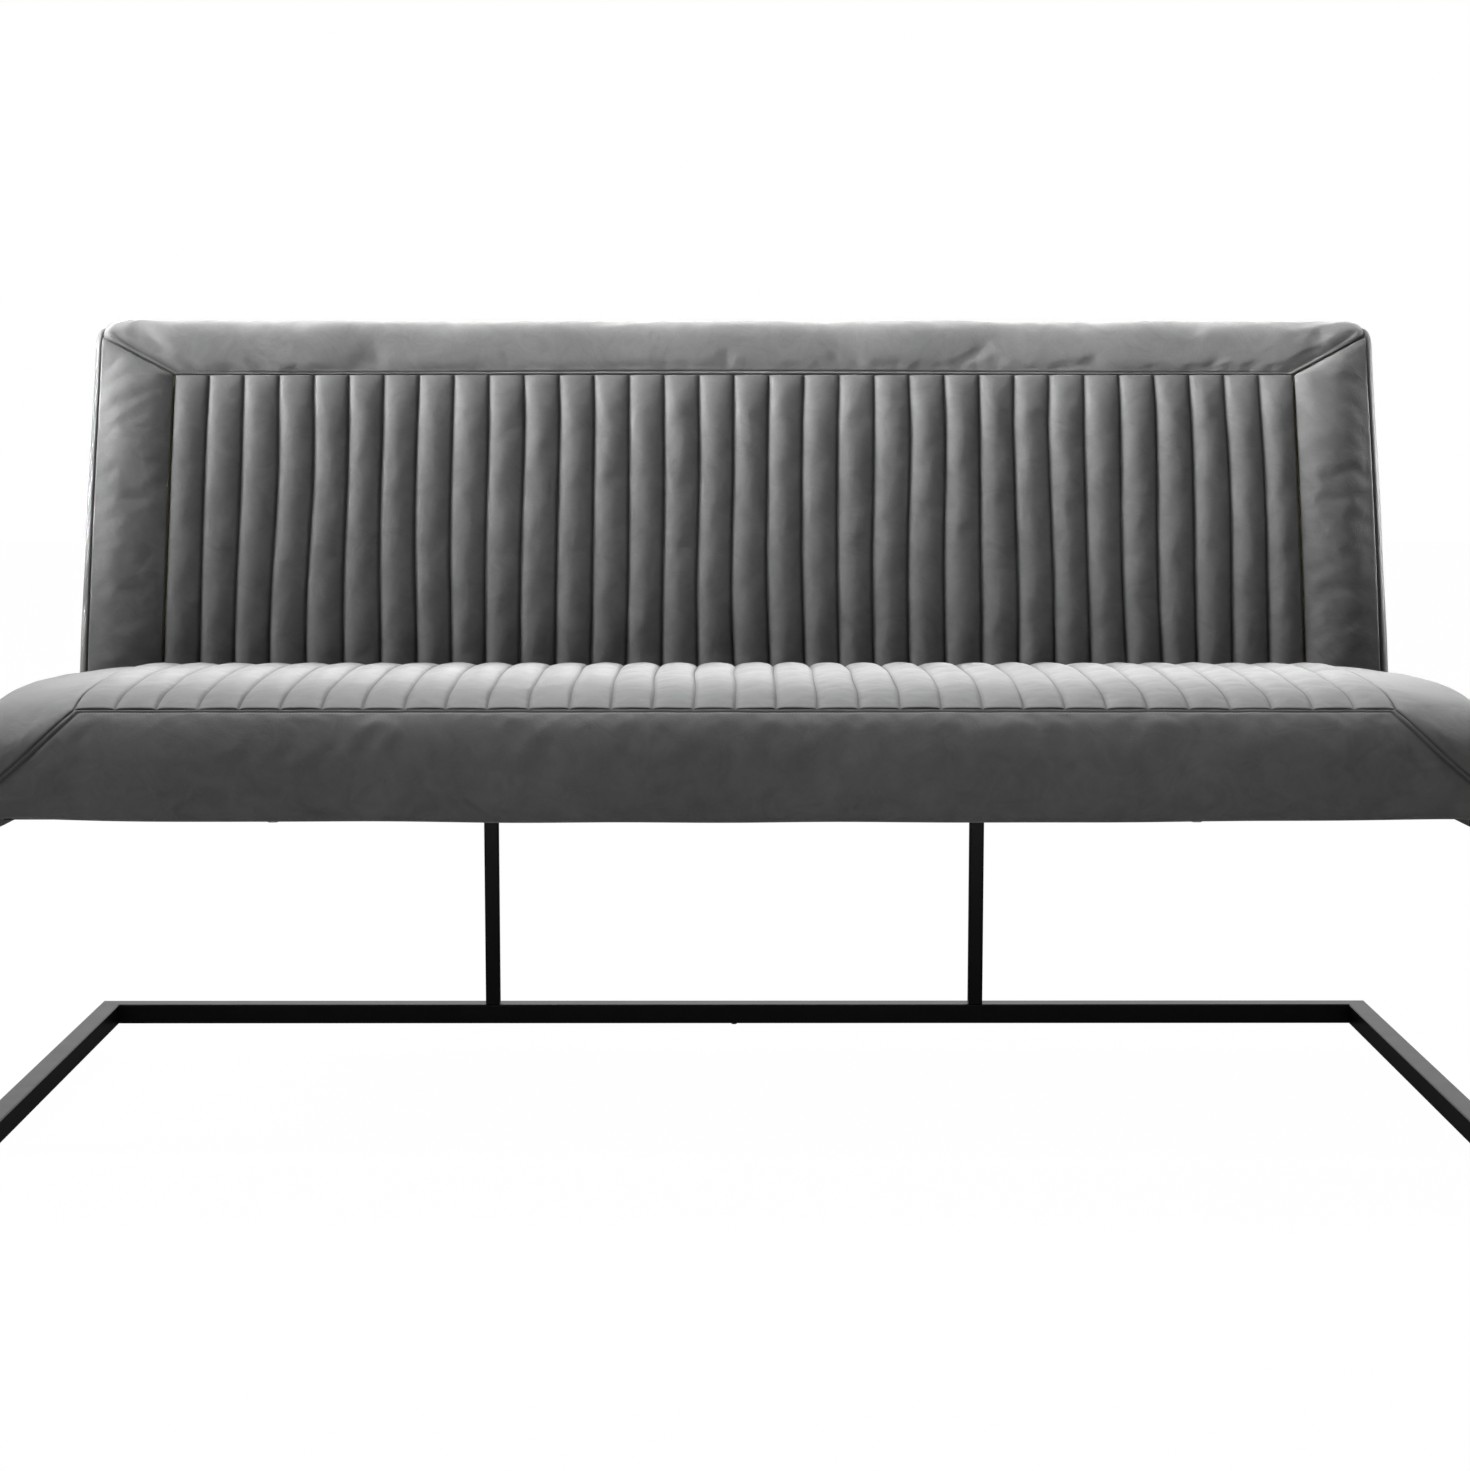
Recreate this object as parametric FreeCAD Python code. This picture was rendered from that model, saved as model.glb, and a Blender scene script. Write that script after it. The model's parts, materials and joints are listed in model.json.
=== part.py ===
import FreeCAD, Part
import math
import os

# A dining bench with a back: channel-stitched upholstery on a cantilever base of square steel tube.
# x runs along the seat, the sitter looks towards -y, z is up from the floor. Lengths are millimetres.

V = FreeCAD.Vector
os.makedirs("parts", exist_ok=True)

# Overall sizes
overall_depth = 715.0
overall_height = 902.0
base_width = 1630.0
back_overhang = 62.5

# Fits
overrun = 20.0
soft_fit = 0.3
seam_gap = 0.4
bolt_fit = 0.4
thread_fit = 0.1

# Steel base
tube_size = 25.0
tube_wall = 1.5
tube_round = 2.0
cross_size = 20.0
strut_size = 18.0
strut_spacing = 620.0
leg_rake_degrees = 6.8
seat_rail_top = 368.0
front_cross_setback = 92.5

# Floor glides
glide_radius = 5.8
glide_flat_radius = 3.2
glide_height = 3.0
glide_sides = 16
hexagon_sides = 6
glide_stem_radius = 3.4
glide_stem_length = 6.0
front_glide_setback = 35.0
rear_glide_inset = 32.0

# Seat upholstery: heights are rises above its bottom edge
seat_overhang = 12.0
seat_border = 123.0
seat_front_inset = 25.0
seat_rear_proud = 5.3
seat_sink = 20.0
nose_rise = 72.0
nose_setback = 14.5
hem_turn = 15.0
hem_rise = 4.0
hem_thickness = 3.0
front_seam_rise = 123.0
front_seam_setback = 30.0
brow_rise = 140.0
brow_setback = 87.5
cushion_rear_rise = 123.0
cushion_rear_gap = 6.5
back_stand_rise = 114.0
seat_crown = 4.0
shoulder_drop = 60.0
corner_retreat = 25.0
cover = 10.0
straight_runs = 3
nose_bow_share = 0.138
apron_bow_share = 0.053
brow_bow_share = 0.043
crown_bow_share = 0.0274
seam_lean_share = 0.47
seam_sink_share = 0.88

# Channels, the same on the seat and the back
channel_count = 32
seat_ridge = 4.5
back_ridge = 6.0

# Rail covers, the wrapped underside of the seat's ends
rail_cover_wall = 3.0
hem_front_drop = 4.0
hem_slope_degrees = 1.1

# Wooden seat frame
slat_width = 20.0
slat_height = 50.0
seat_board_thickness = 12.0
cross_slat_spacing = 540.0
dust_cover_thickness = 1.0
frame_inset = 14.5

# Back upholstery: depths are measured forward from its rear, drops down from its top
back_end_inset = 14.0
back_bulge = 15.0
back_foot_depth = 185.5
back_brow_depth = 55.2
back_brow_drop = 24.0
back_seam_drop = 71.0
mitre_top_drop = 22.0
back_rear_drop = 36.0
back_top_setback = 24.5
back_crown_share = 0.013
back_brow_bow_share = 0.164
back_rear_bow_share = 0.15
back_side_round = 28.0
back_pinch = 14.0
back_pinch_drop = 45.0

# Inside the back
rear_wadding = 5.0
back_board_thickness = 12.0
back_board_margin = 24.0
back_board_drop = 56.0
post_width = 40.0
post_thickness = 6.0
post_spacing = 800.0
post_top_drop = 152.0

# Fasteners
bolt_radius = 3.0
bolt_head_radius = 6.0
bolt_head_height = 4.0
bolt_reach = 26.0
bolt_spacing = 1000.0
nut_radius = 5.0
nut_length = 15.0
screw_radius = 2.4
screw_head_radius = 4.8
screw_head_height = 2.6
screw_height_shares = (0.22, 0.55)

# Places worked out from the sizes above
frame_front = -overall_depth / 2
rear_rail_back = overall_depth / 2 - back_overhang
rear_rail_front = rear_rail_back - tube_size
floor_rail_top = glide_height + tube_size
rail_outer = base_width / 2
rail_inner = rail_outer - tube_size
cross_bottom = seat_rail_top - cross_size
front_cross_y = frame_front + front_cross_setback
rear_cross_y = rear_rail_front + cross_size / 2
seat_front = frame_front + seat_front_inset
seat_rear = rear_rail_back + seat_rear_proud
seat_half = rail_outer + seat_overhang
field_half = seat_half - seat_border
channel_pitch = 2 * field_half / channel_count
seat_bottom = seat_rail_top - seat_sink
nose_height = seat_bottom + nose_rise
front_seam_height = seat_bottom + front_seam_rise
brow_height = seat_bottom + brow_rise
cushion_rear_height = seat_bottom + cushion_rear_rise
back_stand_height = seat_bottom + back_stand_rise
seat_seam_y = seat_front + front_seam_setback
wood_bottom = seat_rail_top + dust_cover_thickness
wood_top = wood_bottom + slat_height
wood_half = seat_half - frame_inset
board_top = wood_top + seat_board_thickness
back_half = seat_half - back_end_inset
back_face_half = back_half - back_bulge
back_base = back_stand_height + soft_fit
back_brow_height = overall_height - back_brow_drop
back_seam_height = overall_height - back_seam_drop
mitre_top_height = overall_height - mitre_top_drop
back_rear_height = overall_height - back_rear_drop
back_board_top = overall_height - back_board_drop
post_top = overall_height - post_top_drop
back_rear_y = overall_depth / 2
back_foot_y = back_rear_y - back_foot_depth
back_rear_foot_y = rear_rail_front + back_board_thickness + rear_wadding + cover
cushion_rear_y = back_foot_y - cushion_rear_gap
rake = math.radians(leg_rake_degrees)
recline = (back_foot_depth - back_brow_depth) / (back_brow_height - back_base)
rear_lean = (back_rear_y - back_rear_foot_y) / (back_rear_height - back_base)


def save(shape, node):
    shape.exportStep("parts/" + node + ".step")


def box(x_low, x_high, y_low, y_high, z_low, z_high):
    return Part.makeBox(x_high - x_low, y_high - y_low, z_high - z_low, V(x_low, y_low, z_low))


def prism(corners, direction):
    outline = Part.makePolygon(corners + [corners[0]])
    return Part.Face(outline).extrude(direction)


def side_prism(corners, x_low, x_high):
    """A shape of one outline in the y-z plane, from x_low to x_high."""
    return prism([V(x_low, y, z) for y, z in corners], V(x_high - x_low, 0, 0))


def front_prism(corners, y_low, y_high):
    """A shape of one outline in the x-z plane, from y_low to y_high."""
    return prism([V(x, y_low, z) for x, z in corners], V(0, y_high - y_low, 0))


def round_long_edges(shape, radius, least_length):
    long_edges = [edge for edge in shape.Edges if edge.Length > least_length]
    return shape.makeFillet(radius, long_edges)


def mirrored(shape):
    return shape.mirror(V(0, 0, 0), V(1, 0, 0))


def bowed_edge(start, end, bow_share):
    """A straight edge, or an arc that stands out to the left of its chord by a share of it."""
    if bow_share == 0:
        return Part.LineSegment(start, end).toShape()
    return Part.Arc(start, bow_middle(start, end, bow_share), end).toShape()


def bow_middle(start, end, bow_share):
    chord = end - start
    outward = V(0, -chord.z, chord.y)
    return (start + end) * 0.5 + outward * bow_share


def bow_height(start, end, bow_share, y):
    """The height at y of the arc that bowed_edge draws from start to end, each given as (y, z)."""
    low = V(0, start[0], start[1])
    high = V(0, end[0], end[1])
    circle = bowed_edge(low, high, bow_share).Curve
    return circle.Center.z + math.sqrt(circle.Radius ** 2 - (y - circle.Center.y) ** 2)


def straightened(corners):
    """The same outline with short straight runs in place of each bow."""
    points = []
    for index, (y, z, bow_share) in enumerate(corners):
        points.append((y, z, 0))
        if bow_share:
            next_y, next_z, _ = corners[(index + 1) % len(corners)]
            bow = bowed_edge(V(0, y, z), V(0, next_y, next_z), bow_share)
            points += [(point.y, point.z, 0) for point in bow.discretize(straight_runs + 1)[1:-1]]
    return points


def section(x, corners):
    """A closed outline at x from (y, z, bow share of the edge that follows) corners."""
    edges = []
    for index, (y, z, bow_share) in enumerate(corners):
        next_y, next_z, _ = corners[(index + 1) % len(corners)]
        edges.append(bowed_edge(V(x, y, z), V(x, next_y, next_z), bow_share))
    return Part.Wire(edges)


# Steel base: side frames of floor rail, raked front leg and seat rail, all mitred

def leg_y(depth_in_tube, z):
    return frame_front + (depth_in_tube + (z - glide_height) * math.sin(rake)) / math.cos(rake)


def low_corner(depth_in_tube):
    z = glide_height + depth_in_tube
    return leg_y(depth_in_tube, z), z


def high_corner(depth_in_tube):
    z = seat_rail_top - depth_in_tube
    return leg_y(depth_in_tube, z), z


def floor_rail_outline(outer_depth, inner_depth):
    return [(rear_rail_back, glide_height + outer_depth), low_corner(outer_depth),
            low_corner(inner_depth), (rear_rail_back, glide_height + inner_depth)]


def leg_outline(outer_depth, inner_depth):
    return [low_corner(outer_depth), high_corner(outer_depth),
            high_corner(inner_depth), low_corner(inner_depth)]


def seat_rail_outline(outer_depth, inner_depth):
    rail_end = rear_cross_y + cross_size / 2
    return [high_corner(outer_depth), (rail_end, seat_rail_top - outer_depth),
            (rail_end, seat_rail_top - inner_depth), high_corner(inner_depth)]


def side_tube(outline):
    """One square tube of the right-hand side frame, hollow and with rounded edges."""
    outer = side_prism(outline(0, tube_size), rail_inner, rail_outer)
    outer = round_long_edges(outer, tube_round, tube_size * 2)
    bore = side_prism(outline(tube_wall, tube_size - tube_wall), rail_inner + tube_wall, rail_outer - tube_wall)
    return outer.cut(bore)


def frame_slots():
    """The room that the upholstery leaves round the legs and the front ends of the seat rails."""
    slots = []
    for outline in (leg_outline, seat_rail_outline):
        slot = side_prism(outline(-soft_fit, tube_size + soft_fit),
                          rail_inner - soft_fit, rail_outer + soft_fit)
        slots += [slot, mirrored(slot)]
    return slots


def straight_tube(x_low, x_high, y_low, y_high, z_low, z_high, open_axis):
    """A square tube with rounded long edges and a bore along open_axis."""
    lows = [x_low, y_low, z_low]
    highs = [x_high, y_high, z_high]
    length = highs[open_axis] - lows[open_axis]
    outer = round_long_edges(box(x_low, x_high, y_low, y_high, z_low, z_high), tube_round, length - tube_wall)
    for axis in range(len(lows)):
        inset = -tube_wall if axis == open_axis else tube_wall
        lows[axis] += inset
        highs[axis] -= inset
    bore = box(lows[0], highs[0], lows[1], highs[1], lows[2], highs[2])
    return outer.cut(bore)


def upright_cylinder(radius, height, x, y, z):
    return Part.makeCylinder(radius, height, V(x, y, z))


def ring(radius, sides, x, y, z):
    """The corners of a regular outline that lies level."""
    angles = [2 * math.pi * corner / sides for corner in range(sides)]
    return [V(x + radius * math.cos(angle), y + radius * math.sin(angle), z) for angle in angles]


def six_sided(radius, height, x, y, z):
    return prism(ring(radius, hexagon_sides, x, y, z), V(0, 0, height))


def level_six_sided(radius, length, x, y, z):
    """The same, lying along y from the point given."""
    corners = [V(x + corner.y, y, z + corner.x) for corner in ring(radius, hexagon_sides, 0, 0, 0)]
    return prism(corners, V(0, length, 0))


rail_centre = rail_outer - tube_size / 2
rear_rail_centre = rear_rail_back - tube_size / 2
side_glide_ys = [frame_front + front_glide_setback, rear_rail_back - tube_size - rear_glide_inset]


def glide_holes(places):
    stem_hole_radius = glide_stem_radius + thread_fit
    return [six_sided(stem_hole_radius, tube_wall + glide_height, x, y, glide_height - tube_wall)
            for x, y in places]


def mitre_tool():
    """What a plan mitre takes off the rear end of the right-hand floor rail."""
    low = glide_height - overrun
    high = floor_rail_top + overrun
    corners = [V(rail_inner - overrun, rear_rail_front - overrun, low),
               V(rail_inner - overrun, rear_rail_back + overrun, low),
               V(rail_outer + overrun, rear_rail_back + overrun, low)]
    return prism(corners, V(0, 0, high - low))


def rear_floor_rail():
    def plan(inset):
        y_far = rear_rail_back - inset
        y_near = rear_rail_front + inset
        return [(-rail_outer + inset, y_far), (rail_outer - inset, y_far),
                (rail_inner + inset, y_near), (-rail_inner - inset, y_near)]
    outer = prism([V(x, y, glide_height) for x, y in plan(0)], V(0, 0, tube_size))
    outer = round_long_edges(outer, tube_round, tube_size * 2)
    bore = prism([V(x, y, glide_height + tube_wall) for x, y in plan(tube_wall)],
                 V(0, 0, tube_size - 2 * tube_wall))
    return outer.cut([bore] + glide_holes([(0, rear_rail_centre)]))


right_floor_rail = side_tube(floor_rail_outline).cut([mitre_tool()] + glide_holes(
    [(rail_centre, y) for y in side_glide_ys]))
right_front_leg = side_tube(leg_outline)
right_seat_rail = side_tube(seat_rail_outline)
save(rear_floor_rail(), "rear_floor_rail")
save(right_floor_rail, "right_floor_rail")
save(mirrored(right_floor_rail), "left_floor_rail")
save(right_front_leg, "right_front_leg")
save(mirrored(right_front_leg), "left_front_leg")
save(right_seat_rail, "right_seat_rail")
save(mirrored(right_seat_rail), "left_seat_rail")

right_strut = straight_tube(strut_spacing / 2 - strut_size / 2, strut_spacing / 2 + strut_size / 2,
                            rear_rail_front, rear_rail_front + strut_size,
                            floor_rail_top, cross_bottom, 2)
save(right_strut, "right_rear_strut")
save(mirrored(right_strut), "left_rear_strut")

# Cross rails between the seat rails, drilled for the bolts that hold the seat
bolt_xs = [-bolt_spacing / 2, bolt_spacing / 2]
bolt_places = [(x, y) for y in (front_cross_y, rear_cross_y) for x in bolt_xs]


def cross_rail(y_centre):
    tube = box(-rail_inner, rail_inner, y_centre - cross_size / 2, y_centre + cross_size / 2,
               cross_bottom, seat_rail_top)
    bore_half = cross_size / 2 - tube_wall
    bore = box(-rail_outer, rail_outer, y_centre - bore_half, y_centre + bore_half,
               cross_bottom + tube_wall, seat_rail_top - tube_wall)
    holes = [upright_cylinder(bolt_radius + bolt_fit, cross_size + 2 * overrun, x, y_centre,
                              cross_bottom - overrun) for x in bolt_xs]
    return tube.cut([bore] + holes)


save(cross_rail(front_cross_y), "front_cross_rail")
save(cross_rail(rear_cross_y), "rear_cross_rail")


# Floor glides: tapered plugs, each with a six-sided stem pressed into the rail

def glide(x, y):
    rings = [ring(glide_flat_radius, glide_sides, x, y, 0),
             ring(glide_radius, glide_sides, x, y, glide_height)]
    head = Part.makeLoft([Part.makePolygon(corners + corners[:1]) for corners in rings], True, True)
    return head.fuse(six_sided(glide_stem_radius, glide_stem_length, x, y, glide_height)).removeSplitter()


glide_places = [(0, rear_rail_centre)] + [(side * rail_centre, y) for y in side_glide_ys for side in (-1, 1)]
save(Part.makeCompound([glide(x, y) for x, y in glide_places]), "floor_glides")


# Wooden seat frame, boards and fasteners

slat_front = front_cross_y - slat_width / 2
slat_back = front_cross_y + slat_width / 2
rear_slat_front = rear_cross_y - slat_width / 2
rear_slat_back = rear_cross_y + slat_width / 2


def bolt_bores(y, length):
    return [upright_cylinder(nut_radius + thread_fit, length, x, y, wood_bottom) for x in bolt_xs]


def bearing_slat(y_centre):
    slat = box(-wood_half, wood_half, y_centre - slat_width / 2, y_centre + slat_width / 2,
               wood_bottom, wood_top)
    return slat.cut(bolt_bores(y_centre, bolt_reach + bolt_fit))


save(bearing_slat(front_cross_y), "seat_frame_front_slat")
save(bearing_slat(rear_cross_y), "seat_frame_rear_slat")
end_slat = box(wood_half - slat_width, wood_half, slat_back, rear_slat_front, wood_bottom, wood_top)
save(end_slat, "seat_frame_right_slat")
save(mirrored(end_slat), "seat_frame_left_slat")
cross_slat = box(cross_slat_spacing / 2 - slat_width / 2, cross_slat_spacing / 2 + slat_width / 2,
                 slat_back, rear_slat_front, wood_bottom, wood_top)
save(Part.makeCompound([cross_slat, mirrored(cross_slat)]), "seat_frame_cross_slats")

post_face = rear_rail_front
seat_board_back = post_face - post_thickness - soft_fit
save(box(-wood_half, wood_half, slat_front, seat_board_back, wood_top, board_top), "seat_board")

dust_holes = [six_sided(bolt_radius + bolt_fit * 2, dust_cover_thickness + 2 * overrun, x, y,
                        seat_rail_top - overrun) for x, y in bolt_places]
dust_cover = box(-wood_half, wood_half, slat_front, rear_slat_back, seat_rail_top, wood_bottom).cut(dust_holes)


def seat_bolt(x, y):
    head = six_sided(bolt_head_radius, bolt_head_height, x, y, cross_bottom - bolt_head_height)
    shank = upright_cylinder(bolt_radius, cross_size + bolt_reach, x, y, cross_bottom)
    return head.fuse(shank).removeSplitter()


def insert_nut(x, y):
    sleeve = six_sided(nut_radius, nut_length, x, y, wood_bottom)
    return sleeve.cut(upright_cylinder(bolt_radius + thread_fit, nut_length + overrun, x, y, wood_bottom))


save(Part.makeCompound([seat_bolt(x, y) for x, y in bolt_places]), "seat_bolts")
save(Part.makeCompound([insert_nut(x, y) for x, y in bolt_places]), "insert_nuts")


# Seat upholstery: a body lofted along x through side profiles; its shell is cut at the sewn seams

def seat_corners(inset, drop, retreat, bottom):
    """The side profile: hem, apron, nose, front seam, brow, crown, back stand and rear wall."""
    front = seat_front + retreat + inset
    seam = (seat_front + retreat + front_seam_setback + inset * seam_lean_share,
            front_seam_height - drop - inset * seam_sink_share)
    brow = (seat_front + retreat + brow_setback, brow_height - drop - inset)
    cushion_end = (cushion_rear_y, cushion_rear_height - drop - inset)
    stand = min(back_stand_height, cushion_rear_height - drop - hem_rise) - inset
    rear = seat_rear - inset
    nose_z = nose_height - max(drop, 0) / 2
    return [(front + nose_setback + hem_turn, bottom, 0),
            (front + nose_setback, bottom + hem_rise, apron_bow_share),
            (front, nose_z, nose_bow_share),
            (seam[0], seam[1], brow_bow_share),
            (brow[0], brow[1], crown_bow_share),
            (cushion_end[0], cushion_end[1], 0),
            (cushion_end[0] + hem_rise, stand, 0),
            (rear, stand, 0),
            (rear, bottom, 0)]


# Each station is a share of the way from the channel field to the seat's end, of the drop and of the retreat
seat_outer_shares = [(0.0, 0.0, 0.0), (0.27, -0.06, 0.0), (0.56, 0.0, 0.05), (0.8, 0.13, 0.16),
                     (0.95, 0.46, 0.44), (1.0, 1.0, 1.0)]
seat_inner_shares = [(0.0, 0.0, 0.0), (0.56, 0.0, 0.05), (0.88, 0.3, 0.3), (1.0, 1.0, 1.0)]
field_crown_shares = [(0.0, 1.0), (0.5, 0.75)]


def seat_stations(end_shares):
    side = [(field_half * x_share, -seat_crown * crown_share, 0, 0)
            for x_share, crown_share in field_crown_shares]
    side += [(field_half + (seat_half - field_half) * x_share, shoulder_drop * drop_share,
              corner_retreat * retreat_share, x_share) for x_share, drop_share, retreat_share in end_shares]
    return [(-x, drop, retreat, end_share) for x, drop, retreat, end_share in reversed(side[1:])] + side


def seat_body(inset, bottom, end_shares):
    """The outer form, or an inner one that lies inset inside it and is built of straight runs."""
    sections = []
    for x, drop, retreat, end_share in seat_stations(end_shares):
        side = math.copysign(1, x)
        corners = seat_corners(inset, drop, retreat, bottom)
        sections.append(section(x - side * inset * end_share ** 2, straightened(corners) if inset else corners))
    return Part.makeLoft(sections, True, True)


underside = box(-rail_outer - soft_fit, rail_outer + soft_fit, slat_front - soft_fit, rear_slat_back + soft_fit,
                seat_bottom - overrun, wood_bottom)
seat_hollow = seat_body(cover, seat_bottom + hem_thickness, seat_inner_shares)
seat_shell = seat_body(0, seat_bottom, seat_outer_shares).cut([seat_hollow, underside] + frame_slots())
half_gap = seam_gap / 2


def apron_zone(widening):
    """The front view of the apron: straight at the front seam, mitred down to the legs, hem turned under."""
    inner = field_half + widening
    outer = rail_outer + soft_fit + widening
    mitre_foot = front_seam_height - (rail_outer + soft_fit - field_half)
    low = seat_bottom - overrun
    high = front_seam_height + overrun
    outline = [(-inner, high), (inner, high), (inner, front_seam_height), (outer, mitre_foot), (outer, low),
               (-outer, low), (-outer, mitre_foot), (-inner, front_seam_height)]
    hem = box(-outer, outer, seat_front, slat_front, low, seat_bottom + hem_thickness + hem_rise + widening)
    return front_prism(outline, seat_front - overrun, seat_seam_y + widening).fuse(hem)


post_xs = [-post_spacing / 2, post_spacing / 2]


def board_front_y(z):
    return post_face + (z - back_base) * rear_lean


def post_outline(clearance):
    """The side view of a back post: upright past the seat frame, then leaning along the back board."""
    behind = post_face + clearance
    ahead = post_face - post_thickness - clearance
    low = cross_bottom - clearance
    high = post_top + clearance
    lean = board_front_y(high) - post_face
    return [(ahead, low), (behind, low), (behind, back_base), (behind + lean, high),
            (ahead + lean, high), (ahead, back_base)]


def post_solids(clearance):
    half = post_width / 2 + clearance
    return [side_prism(post_outline(clearance), x - half, x + half) for x in post_xs]


save(seat_shell.common(apron_zone(-half_gap)), "seat_front_apron")

right_side = box(field_half + half_gap, seat_half + overrun, seat_front - overrun, seat_rear + overrun,
                 seat_bottom - overrun, brow_height + overrun)
side_border = seat_shell.common(right_side).cut(apron_zone(half_gap))
save(side_border, "seat_right_border")
save(mirrored(side_border), "seat_left_border")

rear_zone = box(-field_half + half_gap, field_half - half_gap, cushion_rear_y + half_gap, seat_rear + overrun,
                seat_bottom - overrun, front_seam_height + overrun)
save(seat_shell.common(rear_zone).cut(post_solids(soft_fit)), "seat_rear_band")


def arc_height(corners, y):
    """The height at y of the top of a side profile, between its nose and the cushion's rear."""
    nose, seam, brow, cushion_end = corners[2:6]
    for start, end in ((nose, seam), (seam, brow), (brow, cushion_end)):
        if y <= end[0] or end is cushion_end:
            return bow_height(start[:2], end[:2], start[2], y)


# Each station is a share of the way along a channel and a share of the ridge's full height there
seat_channel_shares = [(0.0, 0.4), (0.05, 0.95), (0.14, 1.0), (0.4, 1.0), (0.7, 1.0), (1.0, 0.6)]


def crown_drop(x):
    """How far the seat's crown stands below its plain profile at x, following the same straight runs."""
    reach = abs(x) / field_half
    for (low, low_share), (high, high_share) in zip(field_crown_shares, field_crown_shares[1:] + [(1.0, 0.0)]):
        if reach <= high:
            share = low_share + (high_share - low_share) * (reach - low) / (high - low)
            return -seat_crown * share
    return 0


def channel_edges(points, ridge, outward):
    """Arcs from groove to groove along points, each standing outward by the ridge's height."""
    edges = []
    for start, end in zip(points, points[1:]):
        edges.append(Part.Arc(start, (start + end) * 0.5 + outward * ridge, end).toShape())
    return edges


groove_xs = [channel_pitch * (index - channel_count / 2) for index in range(channel_count + 1)]
panel_half = field_half - half_gap


def limited(x):
    return max(-panel_half, min(panel_half, x))


def channel_wire(grooves, backs, ridge, outward):
    edges = channel_edges(grooves, ridge, outward)
    loop = [grooves[-1]] + backs + [grooves[0]]
    edges += [Part.LineSegment(start, end).toShape() for start, end in zip(loop, loop[1:])]
    return Part.Wire(edges)


def seat_channel_panel():
    front = seat_seam_y + half_gap
    length = cushion_rear_y - front
    crown_xs = [panel_half, field_half / 2, 0, -field_half / 2, -panel_half]
    wires = []
    for y_share, ridge_share in seat_channel_shares:
        y = front + length * y_share
        grooves = [V(limited(x), y, arc_height(seat_corners(0, crown_drop(x), 0, seat_bottom), y))
                   for x in groove_xs]
        backs = [V(x, y, arc_height(seat_corners(cover, crown_drop(x), 0, seat_bottom), y))
                 for x in crown_xs]
        wires.append(channel_wire(grooves, backs, seat_ridge * ridge_share, V(0, 0, 1)))
    return Part.makeLoft(wires, True, True)


seat_panel = seat_channel_panel()
save(seat_panel, "seat_channel_panel")

wood_zone = box(-wood_half - soft_fit, wood_half + soft_fit, slat_front - soft_fit, seat_rear,
                wood_bottom - overrun, wood_top + soft_fit)
board_zone = box(-wood_half - soft_fit, wood_half + soft_fit, slat_front - soft_fit, seat_board_back + soft_fit,
                 wood_top, board_top + soft_fit)
seat_foam = seat_body(cover + soft_fit, seat_bottom + hem_thickness + soft_fit, seat_inner_shares)
seat_foam = seat_foam.cut([wood_zone, board_zone, underside] + frame_slots() + post_solids(soft_fit))
seat_foam = seat_foam.cut(seat_panel.translated(V(0, 0, -soft_fit)))
save(seat_foam, "seat_foam")


# Rail covers: the upholstery's wrapped underside below each seat rail, falling towards the rear

def rail_cover():
    inner = rail_inner - soft_fit - rail_cover_wall
    outer = seat_half - rail_cover_wall
    rail_bottom = seat_rail_top - tube_size
    front = high_corner(tube_size)[0] + soft_fit
    fall = math.tan(math.radians(hem_slope_degrees)) * (seat_rear - front)
    low = rail_bottom - hem_front_drop - fall
    top = rail_bottom - soft_fit
    outline = [(inner, low), (outer, low), (outer, seat_bottom - soft_fit),
               (rail_outer + soft_fit, seat_bottom - soft_fit),
               (rail_outer + soft_fit, top), (rail_inner - soft_fit, top),
               (rail_inner - soft_fit, seat_rail_top - soft_fit), (inner, seat_rail_top - soft_fit)]
    cover_solid = front_prism(outline, front, seat_rear)
    below = side_prism([(front - overrun, low - overrun), (seat_rear + overrun, low - overrun),
                        (seat_rear, low), (front, low + fall), (front - overrun, low + fall)],
                       inner - overrun, outer + overrun)
    crossings = [box(inner - overrun, rail_inner, y - cross_size / 2 - soft_fit, y + cross_size / 2 + soft_fit,
                     cross_bottom - soft_fit, seat_rail_top) for y in (front_cross_y, rear_cross_y)]
    return cover_solid.cut([below] + crossings)


save(rail_cover(), "right_rail_cover")
save(mirrored(rail_cover()), "left_rail_cover")
save(dust_cover, "dust_cover")


# Back upholstery: a wedge lofted along x, its shell cut at the sewn seams in the same way

def front_y(z):
    return back_foot_y + (z - back_base) * recline


def rear_y(z):
    return back_rear_foot_y + (z - back_base) * rear_lean


def back_corners(inset, drop, pinch, base):
    """The side profile: foot, front seam, brow, top, rear brow and rear foot."""
    draw_in = inset + back_pinch * pinch
    seam_z = back_seam_height - drop
    brow_z = back_brow_height - drop - inset
    top_z = overall_height - drop - inset
    rear_z = back_rear_height - drop - inset
    top_y = back_rear_y - back_top_setback - drop * rear_lean
    return [(front_y(base) + draw_in, base, back_crown_share),
            (front_y(seam_z) + draw_in, seam_z, 0),
            (front_y(brow_z) + draw_in, brow_z, back_brow_bow_share),
            (top_y, top_z, back_rear_bow_share),
            (rear_y(rear_z) - draw_in, rear_z, 0),
            (rear_y(base) - draw_in, base, 0)]


# Each station is a share of the side round, then of the bulge past the face, with its drop and pinch shares
outer_round_shares = [(0.0, 0.0), (0.65, 0.09), (1.0, 0.27)]
outer_bulge_shares = [(0.55, 0.48, 0.3), (1.0, 1.0, 1.0)]
inner_round_shares = [(0.0, 0.0), (1.0, 0.27)]
inner_bulge_shares = [(1.0, 1.0, 1.0)]


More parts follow.
